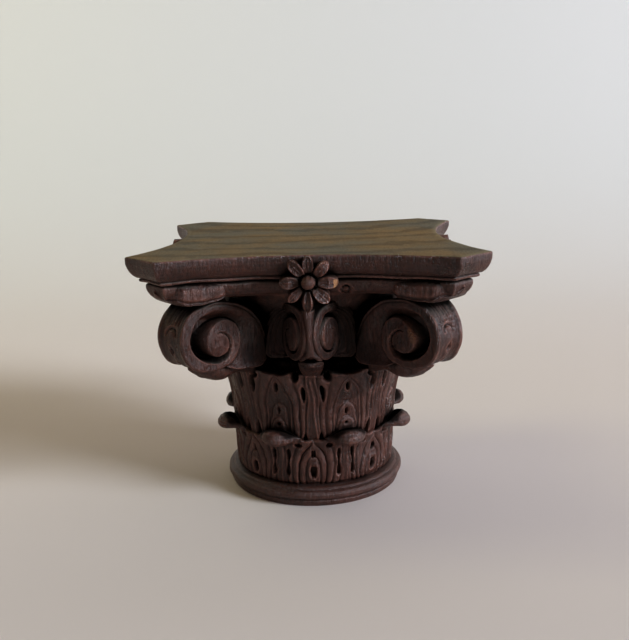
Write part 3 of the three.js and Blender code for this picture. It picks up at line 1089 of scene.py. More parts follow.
    def place(self, u: np.ndarray, v: np.ndarray) -> np.ndarray:
        """Places the pair's grid: out over one face, across the rim and in over the other.

        Args:
            u: Shares of the way round the eye.
            v: Shares of the way out, across and in.

        Returns:
            x, y, z in millimetres.
        """
        turn = self.last - 360.0 * wrap(u)
        row = v * self.rows
        first = row <= self.rings
        face_share = np.where(first, row, self.rows - row) / self.rings
        on_rim = face_share > 1.0
        share = np.minimum(face_share, 1.0)
        rim_share = np.clip((row - self.rings) / (self.rows - 2 * self.rings), 0.0, 1.0)
        edge = self.outline(turn)
        radius = np.where(share >= 1.0, edge, edge * (0.55 * share + 0.45 * share**0.6))
        sunk = np.where(on_rim, 0.0, self.sunk(turn, radius))
        dome = 1.2 * ease(11.5, 3.0, radius)
        round_edge = 0.8 * ease(edge - 1.3, edge, radius) ** 2
        cos, sin = np.cos(np.radians(turn)), np.sin(np.radians(turn))
        _, edge_half = self.face_point(self.eye[0] - edge * cos * self.stretch[0])
        low = self.rim_relief(turn, edge_half * (1.0 - 2.0 * rim_share), edge_half)
        low = low * ease(0.0, 0.12, rim_share * (1.0 - rim_share) * 4.0)
        radius = np.where(on_rim, edge - low, radius)
        up = self.eye[1] + radius * sin * self.stretch[1]
        out, half = self.face_point(self.eye[0] - radius * cos * self.stretch[0])
        half = np.maximum(half - sunk + dome * self.depth_share - round_edge, 0.6)
        rim_across = np.maximum(edge_half - 0.8, 0.6) * (1.0 - 2.0 * rim_share)
        across = np.where(on_rim, rim_across, np.where(first, half, -half))
        return around(self.place_at.value, out, across, up)


@dataclass(kw_only=True)
class Stalk(CarvedSheet):
    """The stalk that rises between the inner scrolls to the flower."""

    heights: tuple[float, ...] = (96.0, 98.5, 101.5, 106.0, 116.0, 122.0, 127.5)
    halves: tuple[float, ...] = (7.0, 6.4, 4.3, 3.1, 3.0, 3.6, 4.1)
    reaches: tuple[float, ...] = (72.0, 73.6, 74.6, 75.6, 76.6, 77.0, 76.6)
    end_share: float = 0.06
    lean: float = 1.0
    back: float = 58.0

    def place(self, u: np.ndarray, v: np.ndarray) -> np.ndarray:
        """Places the stalk's grid: round it, and up from one closed end to the other.

        Args:
            u: Shares of the way round.
            v: Shares of the way up.

        Returns:
            x, y, z in millimetres.
        """
        turn = 2.0 * math.pi * wrap(u)
        end = np.clip(np.minimum(v, 1.0 - v) / self.end_share, 0.0, 1.0)
        up = np.interp(v, (self.end_share, 1.0 - self.end_share), (self.heights[0], self.heights[-1]))
        half = flow(list(zip(self.heights, self.halves)), up)
        reach = flow(list(zip(self.heights, self.reaches)), up)
        across = np.sign(np.sin(turn)) * np.abs(np.sin(turn)) ** 0.7 * half * end
        across = across - self.lean * ease(100.0, 127.0, up)
        middle = (reach + self.back) / 2.0
        out = middle + np.cos(turn) * (reach - middle) * end
        up = up + 3.2 * bump(across, 4.2) * ease(101.0, 96.0, up)
        return around(Place.SIDE.value, out, across, up)


@dataclass(kw_only=True)
class Flower(CarvedSheet):
    """Eight petals about a domed button, in the middle of each side of the top."""

    height: float = 145.5
    reach: float = 86.0
    back: float = 68.0
    radius: float = 15.2
    lengths: tuple[float, ...] = (14.0, 15.0, 16.2, 15.9, 16.8, 15.6, 16.2, 15.4)
    fullness: tuple[float, ...] = (1.05, 0.92, 1.0, 1.06, 0.78, 0.76, 1.04, 1.02)
    tilts: tuple[float, ...] = (0.3, -0.9, 0.5, 1.0, -1.0, 0.7, -0.6, 0.8)
    halves: Pairs = ((3.0, 1.0), (5.5, 2.3), (8.5, 3.7), (11.0, 4.2), (13.0, 3.5), (14.5, 1.9), (15.4, 0.7))
    crests: Pairs = ((3.5, 0.8), (6.0, 2.2), (9.5, 3.3), (13.0, 3.3), (15.3, 2.2))
    heart: float = 5.0
    button: float = 3.8
    moat: float = 1.6
    rings: int = 38
    seed: int = 77

    def petals(self, angle: np.ndarray, front: np.ndarray) -> tuple[np.ndarray, np.ndarray]:
        """Shapes the petals' edges and their cupped faces.

        Args:
            angle: Turn about the flower's middle.
            front: Share of the way out from the middle to the petal's edge.

        Returns:
            Distance from the flower's middle and outward distance of the face.
        """
        numbers = np.random.default_rng(self.seed)
        count = len(self.lengths)
        lean = numbers.uniform(-0.05, 0.05, count)
        lift = numbers.uniform(-0.5, 0.4, count)
        pitch = 2.0 * math.pi / count
        petal = np.round(angle / pitch).astype(int) % count
        off = (angle + pitch / 2.0) % pitch - pitch / 2.0 + lean[petal]
        share = np.abs(off) / (pitch / 2.0)
        length = np.array(self.lengths)[petal]
        edge = self.heart + (length - self.heart) * np.clip(1.0 - share**2.2, 0.0, 1.0) ** 0.8
        radius = edge * front
        side = np.abs(radius * np.sin(off))
        half = flow(self.halves, radius * self.radius / length) * np.array(self.fullness)[petal]
        part = np.clip(side / half, 0.0, 1.0)
        body = np.clip(1.0 - part**4, 0.0, 1.0) ** 0.6
        cup = 0.55 * bump(part - 0.74, 0.2) - 0.75 * bump(part, 0.45) + 0.35 * bump(side, 0.35)
        turned = np.array(self.tilts)[petal] * np.sign(off) * part
        high = flow(self.crests, radius) + lift[petal] + turned + cup * ease(4.5, 8.0, radius)
        return radius, self.reach - 1.6 + high * body

    def place(self, u: np.ndarray, v: np.ndarray) -> np.ndarray:
        """Places the flower's grid: out over the button and the petals, and back behind them.

        Args:
            u: Shares of the way round.
            v: Shares of the way out and back.

        Returns:
            x, y, z in millimetres.
        """
        row = v * self.rows
        angle = 2.0 * math.pi * wrap(u)
        radius, out = self.petals(angle, np.minimum(row / self.rings, 1.0))
        dome = self.reach + 1.6 + 4.6 * np.sqrt(np.clip(1.0 - (radius / self.button) ** 2, 0.0, 1.0))
        moat = ease(self.button + self.moat, self.button, radius)
        out = np.where(radius < self.button, dome, out * (1.0 - moat) + (self.reach - 1.0) * moat)
        backwards = np.clip((row - self.rings) / (self.rows - self.rings), 0.0, 1.0)
        deep = np.clip(backwards * 1.6, 0.0, 1.0)
        out = np.where(row > self.rings, out + (self.back - out) * deep, out)
        radius = radius * (1.0 - np.clip((backwards - 0.7) / 0.3, 0.0, 1.0))
        up = np.minimum(self.height + radius * np.cos(angle), HEIGHT - 0.1)
        return around(Place.SIDE.value, out, radius * np.sin(angle), up)


@dataclass(kw_only=True)
class HornLeaf(CarvedSheet):
    """The leaf draped over each corner scroll, under the horn of the top."""

    start: float = 84.0
    tip: float = 119.5
    widths: Pairs = (
        (0.0, 23.0), (0.14, 23.4), (0.35, 20.9), (0.55, 18.0), (0.72, 15.6), (0.82, 13.6), (0.88, 10.6),
        (0.93, 8.8), (1.0, 5.0),
    )
    tops: Pairs = ((0.0, 146.6), (0.5, 146.6), (0.8, 146.0), (0.92, 144.8), (1.0, 143.0))
    bottoms: Pairs = (
        (0.0, 137.0), (0.14, 135.4), (0.35, 133.9), (0.6, 133.2), (0.75, 133.8), (0.85, 136.0), (0.93, 136.4),
        (1.0, 139.0),
    )
    squareness: float = 0.42
    sag: float = 0.8
    bow: float = 2.2

    def place(self, u: np.ndarray, v: np.ndarray) -> np.ndarray:
        """Places the leaf's grid: round its section, and out from root to tip.

        Args:
            u: Shares of the way round the section.
            v: Shares of the way out.

        Returns:
            x, y, z in millimetres.
        """
        turn = 2.0 * math.pi * wrap(u)
        share = np.clip(v, 0.0, 1.0)
        end = np.clip(1.0 - share**14, 0.0, 1.0) ** 0.5 * np.clip(1.0 - (1.0 - share) ** 20, 0.0, 1.0) ** 0.5
        cos, sin = np.cos(turn), np.sin(turn)
        x = np.sign(cos) * np.abs(cos) ** self.squareness
        y = np.sign(sin) * np.abs(sin) ** self.squareness
        top, bottom = flow(self.tops, share), flow(self.bottoms, share)
        up = (top + bottom) / 2.0 + y * (top - bottom) / 2.0 * end - self.sag * x**2
        side = ease(0.5, 0.85, np.abs(x))
        roll = 1.1 * bump(y + 0.84, 0.12) - 0.9 * bump(y + 0.62, 0.14) - 1.5 * ease(0.3, 1.0, y)
        across = x * flow(self.widths, share) * end + np.sign(x) * roll * side * end
        out = self.start + (self.tip - self.start) * share - self.bow * x**2 * share
        return around(Place.CORNER.value, out, across, up)


@dataclass(kw_only=True)
class Top(CarvedSheet):
    """The square top with hollow sides, cut-off horns and a moulded edge."""

    half_width: float = 100.0
    cant_corner: float = 79.8
    side_sag: float = 18.2
    profile: Pairs = (
        (0.9, 160.0), (0.35, 159.8), (0.05, 159.2), (0.0, 158.0), (0.1, 155.8), (0.4, 154.9), (0.8, 153.4),
        (1.6, 151.6), (2.9, 149.7), (4.5, 148.5), (6.1, 148.2), (6.3, 147.9), (5.7, 147.7), (5.5, 147.1),
        (5.7, 146.3), (6.8, 145.9), (9.6, 145.7), (9.9, 145.2), (8.8, 144.7), (8.4, 143.8), (8.5, 142.0),
        (9.2, 140.0), (10.4, 138.0), (12.0, 136.6), (14.0, 135.8),
    )
    cant_columns: int = 24
    top_rows: int = 16
    under_rows: int = 5
    hole: tuple[float, float] = (20.5, 138.6)
    hole_radius: float = 3.0
    bare_depth: float = 0.9

    def outline(
        self, side: np.ndarray, share: np.ndarray, on_cant: np.ndarray, inset: np.ndarray
    ) -> np.ndarray:
        """Plan of the edge at an inset.

        Args:
            side: Number of the side, anticlockwise from the front.
            share: Share of the way along the hollow or the cut-off horn.
            on_cant: Whether the place is on the horn after the hollow.
            inset: Distance inside the full plan.

        Returns:
            x and y.
        """
        chord = self.cant_corner
        bow = (chord**2 + self.side_sag**2) / (2.0 * self.side_sag)
        centre = self.half_width - self.side_sag + bow
        cant = (self.half_width + chord) / math.sqrt(2.0) - inset
        arc = bow + inset
        # The hollow x, y = centre - sqrt(arc^2 - x^2) meets the horn x + y = cant * sqrt(2).
        total = centre - cant * math.sqrt(2.0)
        meet = (-total + np.sqrt(np.maximum(2.0 * arc**2 - total**2, 0.0))) / 2.0
        reach = np.arcsin(np.clip(meet / arc, -1.0, 1.0))
        angle = reach * (2.0 * share - 1.0)
        x_end = arc * np.sin(reach)
        out_end = centre - arc * np.cos(reach)
        # The horn runs from (x_end, out_end) on this side to (out_end, x_end), seen from this side.
        x = np.where(on_cant, x_end + (out_end - x_end) * share, arc * np.sin(angle))
        out = np.where(on_cant, out_end + (x_end - out_end) * share, centre - arc * np.cos(angle))
        turn = side * math.pi / 2.0
        cos, sin = np.cos(turn), np.sin(turn)
        return np.stack([out * sin + x * cos, -out * cos + x * sin], axis=-1)

    def place(self, u: np.ndarray, v: np.ndarray) -> np.ndarray:
        """Places the top's grid: out from the middle of the top, down the edge and in below.

        Args:
            u: Shares of the way round.
            v: Shares of the way out, down and in.

        Returns:
            x, y, z in millimetres.
        """
        per_side = self.columns // SIDES
        hollow_columns = per_side - self.cant_columns
        column = wrap(u) * per_side * SIDES
        side = np.floor(column / per_side + 1e-7)
        rest = column - side * per_side
        on_cant = rest > hollow_columns
        share = np.where(on_cant, (rest - hollow_columns) / self.cant_columns, rest / hollow_columns)
        profile_rows = self.rows - self.top_rows - self.under_rows
        row = v * self.rows
        inset, height = self.edge(np.clip((row - self.top_rows) / profile_rows, 0.0, 1.0))
        plan = self.outline(side, np.clip(share, 0.0, 1.0), on_cant, inset)
        in_top = np.clip(row / self.top_rows, 0.0, 1.0)
        in_under = np.clip((self.rows - row) / self.under_rows, 0.0, 1.0)
        scale = np.minimum(in_top**0.8, in_under)
        return np.concatenate([plan * scale[:, None], height[:, None]], axis=1)

    def edge(self, down: np.ndarray) -> tuple[np.ndarray, np.ndarray]:
        """Inset and height at a share of the way down the moulded edge.

        Args:
            down: Shares from 0 at the top to 1 below.

        Returns:
            Insets and heights.
        """
        path, run = path_shares(self.profile)
        return np.interp(down, run, path[:, 0]), np.interp(down, run, path[:, 1])

    def drill(self, top: bpy.types.Object) -> None:
        """Sinks the peg hole with its ring into the front moulding.

        Args:
            top: The modelled top.
        """
        spots = spots_of(top)
        x, z = self.hole
        away = np.hypot(spots[:, 0] - x, spots[:, 2] - z)
        front = (spots[:, 1] < -60.0) & (away < self.hole_radius + 1.0)
        ring = bump(away - 0.78 * self.hole_radius, 0.55)
        spots[:, 1] += (1.2 * ease(self.hole_radius, self.hole_radius - 0.8, away) + 1.6 * ring) * front
        move_spots(top, spots)

    def model(self) -> bpy.types.Object:
        """Models the top with its peg hole.

        Returns:
            The top.
        """
        top = super().model()
        self.drill(top)
        return top

    def paint(self, piece: bpy.types.Object, finishes: Finishes) -> None:
        """Gives the top its stained wood, and bare end grain on its flat face.

        Args:
            piece: The top.
            finishes: The finishes.
        """
        super().paint(piece, finishes)
        piece.data.materials.append(finishes.end_grain)
        for face in piece.data.polygons:
            if face.center.z > (HEIGHT - self.bare_depth) * MM and face.normal.z > 0.6:
                face.material_index = 1


Socket = bpy.types.NodeSocket
Value = float | tuple | Socket
Colour = tuple[float, float, float, float]


class Board:
    """A node tree with short ways of adding and joining nodes."""

    def __init__(self, tree: bpy.types.NodeTree) -> None:
        """Keeps the tree."""
        self.tree = tree

    def add(self, kind: str, **values: object) -> bpy.types.Node:
        """Adds a node and sets its properties.

        Args:
            kind: The node's type name.
            **values: Properties of the node.

        Returns:
            The node.
        """
        node = self.tree.nodes.new(kind)
        for key, value in values.items():
            setattr(node, key, value)
        return node

    def feed(self, node: bpy.types.Node, **inputs: Value) -> bpy.types.Node:
        """Fills a node's inputs with values or other sockets.

        Args:
            node: The node.
            **inputs: Inputs by name, with _ for a space; a number after the name picks a repeated one.

        Returns:
            The same node.
        """
        for key, value in inputs.items():
            name, _, index = key.rpartition("__")
            sockets = [s for s in node.inputs if s.enabled and s.name.replace(" ", "_") == (name or key)]
            socket = sockets[int(index)] if name else sockets[0]
            if isinstance(value, Socket):
                self.tree.links.new(value, socket)
            else:
                socket.default_value = value
        return node

    def math(self, operation: str, first: Value, second: Value, clamp: bool = False) -> Socket:
        """Works out a sum on two values.

        Args:
            operation: What is done with them.
            first: The first value.
            second: The second value.
            clamp: Whether the result is kept between 0 and 1.

        Returns:
            The result.
        """
        node = self.add("ShaderNodeMath", operation=operation, use_clamp=clamp)
        return self.feed(node, Value__0=first, Value__1=second).outputs[0]

    def times(self, first: Value, second: Value, clamp: bool = False) -> Socket:
        """Product of two values."""
        return self.math("MULTIPLY", first, second, clamp)

    def plus(self, first: Value, second: Value, clamp: bool = False) -> Socket:
        """Sum of two values."""
        return self.math("ADD", first, second, clamp)

    def less(self, first: Value, second: Value, clamp: bool = False) -> Socket:
        """The first value less the second."""
        return self.math("SUBTRACT", first, second, clamp)

    def ramp(self, value: Value, low: float, high: float, start: float = 0.0, end: float = 1.0) -> Socket:
        """Carries a value smoothly from one range to another.

        Args:
            value: The value.
            low: Where its range starts.
            high: Where its range ends.
            start: The result at low.
            end: The result at high.

        Returns:
            The result.
        """
        node = self.add("ShaderNodeMapRange", interpolation_type="SMOOTHSTEP")
        self.feed(node, Value=value, From_Min=low, From_Max=high, To_Min=start, To_Max=end)
        return node.outputs[0]

    def mix(self, factor: Value, first: Value, second: Value) -> Socket:
        """Mixes two colours.

        Args:
            factor: Share of the second colour.
            first: The first colour.
            second: The second colour.

        Returns:
            The mixed colour.
        """
        node = self.add("ShaderNodeMix", data_type="RGBA", blend_type="MIX", clamp_factor=True)
        self.feed(node, Factor=factor, A=first, B=second)
        return [s for s in node.outputs if s.enabled][0]

    def noise(self, spots: Value, scale: float, detail: float, rough: float) -> Socket:
        """Draws clouds.

        Args:
            spots: Coordinates in metres.
            scale: How many clouds there are to a metre, roughly.
            detail: How many finer layers there are.
            rough: How strong the finer layers are.

        Returns:
            Values about 0.5.
        """
        node = self.add("ShaderNodeTexNoise")
        return self.feed(node, Vector=spots, Scale=scale, Detail=detail, Roughness=rough).outputs[0]

    def mapped(self, spots: Value, scale: tuple, move: tuple = (0.0, 0.0, 0.0)) -> Socket:
        """Coordinates stretched and moved."""
        node = self.add("ShaderNodeMapping")
        return self.feed(node, Vector=spots, Scale=scale, Location=move).outputs[0]

    def attribute(self, name: str) -> Socket:
        """Value stored on the mesh under a name."""
        return self.add("ShaderNodeAttribute", attribute_name=name).outputs["Fac"]


def new_group(
    name: str, inputs: Sequence[tuple[str, float]], outputs: Sequence[str]
) -> tuple[Board, dict[str, Socket], bpy.types.Node]:
    """Starts a shader node group.

    Args:
        name: Name of the group.
        inputs: Value inputs with what they start at.
        outputs: Value outputs.

    Returns:
        The group's board, its input sockets by name, and its output node.
    """
    tree = bpy.data.node_groups.new(name, "ShaderNodeTree")
    for label, value in inputs:
        socket = tree.interface.new_socket(label, in_out="INPUT", socket_type="NodeSocketFloat")
        socket.default_value = value
    for label in outputs:
        tree.interface.new_socket(label, in_out="OUTPUT", socket_type="NodeSocketFloat")
    board = Board(tree)
    start = board.add("NodeGroupInput")
    return board, {s.name: s for s in start.outputs}, board.add("NodeGroupOutput")


def grain_group() -> bpy.types.NodeTree:
    """Group that draws upright wood grain.

    Returns:
        The group, with outputs Streak, Pore, Cloud and Fleck.
    """
    outputs = ["Streak", "Pore", "Cloud", "Fleck"]
    board, given, out = new_group("upright_grain", [("Fineness", 1.0)], outputs)
    spots = board.add("ShaderNodeTexCoord").outputs["Object"]
    scaled = board.add("ShaderNodeVectorMath", operation="SCALE")
    board.feed(scaled, Vector=spots, Scale=given["Fineness"])
    upright = board.mapped(scaled.outputs[0], (1.0, 1.0, 0.07))
    streak = board.ramp(board.noise(upright, 620.0, 4.0, 0.6), 0.32, 0.7)
    pore = board.ramp(board.noise(upright, 1900.0, 2.0, 0.5), 0.56, 0.7)
    cloud = board.ramp(board.noise(scaled.outputs[0], 46.0, 4.0, 0.6), 0.3, 0.7)
    fleck = board.ramp(board.noise(scaled.outputs[0], 520.0, 5.0, 0.75), 0.34, 0.68)
    board.feed(out, Streak=streak, Pore=pore, Cloud=cloud, Fleck=fleck)
    return board.tree


def wear_group() -> bpy.types.NodeTree:
    """Group that breaks the worn edges up.

    Returns:
        The group, with output Mask.
    """
    board, given, out = new_group("edge_wear", [("Worn", 0.0), ("Amount", 1.0)], ["Mask"])
    spots = board.add("ShaderNodeTexCoord").outputs["Object"]
    patchy = board.ramp(board.noise(spots, 120.0, 5.0, 0.65), 0.35, 0.66, 0.25, 1.15)
    board.feed(out, Mask=board.times(board.times(given["Worn"], patchy), given["Amount"], clamp=True))
    return board.tree


def dust_group() -> bpy.types.NodeTree:
    """Group that lays dust in high hollows that face up, and painted shade, near black, in the deep and
    closed-in ones.

    Returns:
        The group, with outputs for the dust and for the painted shade.
    """
    inputs = [("Shade", 0.0), ("Groove", 0.0), ("Amount", 1.0)]
    board, given, out = new_group("dust_and_grime", inputs, ["Dust", "Grime"])
    spots = board.add("ShaderNodeTexCoord").outputs["Object"]
    normal = board.add("ShaderNodeSeparateXYZ")
    board.feed(normal, Vector=board.add("ShaderNodeNewGeometry").outputs["Normal"])
    place = board.add("ShaderNodeSeparateXYZ")
    board.feed(place, Vector=spots)
    rising = board.ramp(normal.outputs["Z"], -0.5, 0.8, 0.25, 1.0)
    high_up = board.ramp(place.outputs["Z"], 0.02, 0.08, 0.2, 1.0)
    patchy = board.ramp(board.noise(spots, 75.0, 5.0, 0.7), 0.3, 0.68)
    shaded = board.ramp(given["Shade"], 0.12, 0.42)
    lying = board.times(board.times(board.times(shaded, rising), patchy), high_up)
    # Painted shade: the closed-in places are darkened, as the rays meet wood there.
    closed = board.ramp(given["Shade"], 0.3, 0.75, 0.0, 0.9)
    # Painted shade in the grooves, and in the recesses between the parts.
    sunk = board.ramp(given["Groove"], 0.25, 1.0, 0.0, 0.9)
    dust = board.times(lying, given["Amount"], clamp=True)
    board.feed(out, Dust=dust, Grime=board.plus(closed, sunk, clamp=True))
    return board.tree


@dataclass(frozen=True)
class StainedWood:
    """Dark stained and waxed wood, worn lighter on its edges, with painted shade in its hollows and a painted
    sheen on its worn edges.
    """

    name: str = "stained_wood"
    body: Colour = (0.078, 0.0175, 0.0068, 1.0)
    deep: Colour = (0.014, 0.004, 0.0026, 1.0)
    # Lighter, purplish edges: the wear, and a painted sheen on it.
    worn: Colour = (0.19, 0.08, 0.058, 1.0)
    dust: Colour = (0.06, 0.055, 0.042, 1.0)
    # Near black: the dark pores, and the painted shade of the hollows.
    grime: Colour = (0.0014, 0.0011, 0.0009, 1.0)
    bare: Colour = (0.33, 0.155, 0.062, 1.0)
    wear: float = 1.0
    dusty: float = 0.8
    streaky: float = 0.4
    cloudy: float = 0.45
    flecked: float = 0.5
    darker: float = -0.1
    gloss: float = 0.27
    shine: float = 0.75
    relief: float = 0.0004

    def build(
        self, grain: bpy.types.NodeTree, wear: bpy.types.NodeTree, dust: bpy.types.NodeTree
    ) -> bpy.types.Material:
        """Builds the material.

        Args:
            grain: The grain group.
            wear: The edge wear group.
            dust: The dust group.

        Returns:
            The material.
        """
        material = bpy.data.materials.new(self.name)
        material.use_nodes = True
        board = Board(material.node_tree)
        shader = material.node_tree.nodes["Principled BSDF"]
        wood = board.add("ShaderNodeGroup", node_tree=grain).outputs
        worn = board.add("ShaderNodeGroup", node_tree=wear)
        board.feed(worn, Worn=board.attribute("worn"), Amount=self.wear)
        # Dust, and the painted shade that darkens the hollows.
        lying = board.add("ShaderNodeGroup", node_tree=dust)
        board.feed(lying, Shade=board.attribute("shade"), Groove=board.attribute("groove"), Amount=self.dusty)
        edges, dusted, painted_shade = worn.outputs["Mask"], lying.outputs["Dust"], lying.outputs["Grime"]
        tone = board.plus(board.times(wood["Streak"], self.streaky), self.darker)
        tone = board.plus(tone, board.times(wood["Cloud"], self.cloudy))
        tone = board.plus(tone, board.times(wood["Fleck"], self.flecked), clamp=True)
        colour = board.mix(tone, self.deep, self.body)
        colour = board.mix(board.times(wood["Pore"], 0.5), colour, self.grime)
        # Worn edges: the wear, and a painted sheen.
        colour = board.mix(edges, colour, self.worn)
        colour = board.mix(dusted, colour, self.dust)
        # Painted shade: the hollows are darkened nearly to black.
        colour = board.mix(painted_shade, colour, self.grime)
        colour = board.mix(board.attribute("bare"), colour, self.bare)
        rough = board.plus(self.gloss, board.times(wood["Cloud"], 0.14))
        rough = board.less(rough, board.times(edges, 0.08))
        rough = board.plus(rough, board.times(dusted, 0.4))
        rough = board.plus(rough, board.times(painted_shade, 0.25), clamp=True)
        height = board.less(board.times(wood["Streak"], 0.6), wood["Pore"])
        height = board.plus(height, board.times(wood["Fleck"], 0.6))
        bump_node = board.feed(board.add("ShaderNodeBump"), Height=height, Strength=0.8, Distance=self.relief)
        board.feed(shader, Base_Color=colour, Roughness=rough, Normal=bump_node.outputs[0])
        # Painted shade also dims the reflection in the hollows.
        shine = board.less(self.shine, board.times(painted_shade, self.shine), clamp=True)
        board.feed(shader, Specular_IOR_Level=shine)
        return material


@dataclass(frozen=True)
class EndGrain:
    """Weathered bare end grain of the top, with growth rings curving across it."""

    name: str = "weathered_end_grain"
    grey: Colour = (0.165, 0.142, 0.1, 1.0)
    tan: Colour = (0.28, 0.185, 0.092, 1.0)
    dark: Colour = (0.022, 0.016, 0.011, 1.0)
    pale: Colour = (0.24, 0.19, 0.12, 1.0)
    heart: tuple[float, float, float] = (-0.02, 0.16, 0.0)
    rings: float = 9.0
    shine: float = 0.1
    relief: float = 0.0004

    def build(self) -> bpy.types.Material:
        """Builds the material.

        Returns:
            The material.
        """
        material = bpy.data.materials.new(self.name)
        material.use_nodes = True
        board = Board(material.node_tree)
        shader = material.node_tree.nodes["Principled BSDF"]
        spots = board.add("ShaderNodeTexCoord").outputs["Object"]
        centred = board.mapped(spots, (1.0, 1.25, 1.0), tuple(-v for v in self.heart))
        rings = board.add("ShaderNodeTexWave", wave_type="RINGS", rings_direction="Z")
        board.feed(rings, Vector=centred, Scale=self.rings, Distortion=7.0)
        board.feed(rings, Detail=5.0, Detail_Scale=1.4, Detail_Roughness=0.75)
        arcs = board.ramp(rings.outputs["Fac"], 0.55, 1.0)
        lengthways = board.mapped(spots, (0.3, 1.0, 1.0))
        streak = board.ramp(board.noise(lengthways, 95.0, 6.0, 0.72), 0.46, 0.7)
        arcs = board.math("MAXIMUM", arcs, board.times(streak, 0.6))
        cloud = board.ramp(board.noise(spots, 15.0, 5.0, 0.62), 0.34, 0.66)
        speck = board.ramp(board.noise(spots, 900.0, 3.0, 0.6), 0.42, 0.62)
        colour = board.mix(cloud, self.grey, self.tan)
        colour = board.mix(board.times(arcs, 0.36), colour, self.dark)
        colour = board.mix(board.times(speck, 0.4), colour, self.dark)
        worn = board.ramp(board.attribute("worn"), 0.3, 0.9, 0.0, 0.4)
        colour = board.mix(worn, colour, self.pale)
        height = board.plus(board.times(arcs, -0.7), board.times(speck, -0.5))
        bump_node = board.feed(board.add("ShaderNodeBump"), Height=height, Strength=0.5, Distance=self.relief)
        rough = board.plus(0.62, board.times(cloud, 0.2))
        board.feed(shader, Base_Color=colour, Roughness=rough, Normal=bump_node.outputs[0])
        board.feed(shader, Specular_IOR_Level=self.shine)
        return material


@dataclass(frozen=True)
class PaleSweep:
    """Matt pale paper of the floor and backdrop."""

    # Near and far tints: painted warm and cool light on the paper.
    near: Colour = (0.7, 0.62, 0.59, 1.0)
    far: Colour = (0.67, 0.645, 0.645, 1.0)

    def build(self) -> bpy.types.Material:
        """Builds the material, warmer near the camera than far away: the tint is painted light, warming the
        floor where the capital's shadow lies.

        Returns:
            The material.
        """
        material = bpy.data.materials.new("pale_sweep")
        material.use_nodes = True
        board = Board(material.node_tree)
        shader = material.node_tree.nodes["Principled BSDF"]
        spots = board.add("ShaderNodeTexCoord").outputs["Object"]
        apart = board.add("ShaderNodeSeparateXYZ")
        board.feed(apart, Vector=spots)
        colour = board.mix(board.ramp(apart.outputs["Y"], 0.1, 1.1), self.near, self.far)
        board.feed(shader, Base_Color=colour, Roughness=0.85, Specular_IOR_Level=0.2)
        return material


@dataclass(frozen=True)
class SoftLight:
    """A soft square light, in metres and watts."""

    name: str
    at: tuple[float, float, float]
    size: float
    power: float
    colour: tuple[float, float, float]
    aim: tuple[float, float, float] = (0.0, 0.0, 0.09)

    def build(self) -> None:
        """Adds the light, turned towards what it lights."""
        data = bpy.data.lights.new(self.name, "AREA")
        data.size = self.size
        data.energy = self.power
        data.color = self.colour
        lamp = bpy.data.objects.new(self.name, data)
        bpy.context.scene.collection.objects.link(lamp)
        lamp.location = self.at
        lamp.rotation_euler = (Vector(self.aim) - Vector(self.at)).to_track_quat("-Z", "Y").to_euler()


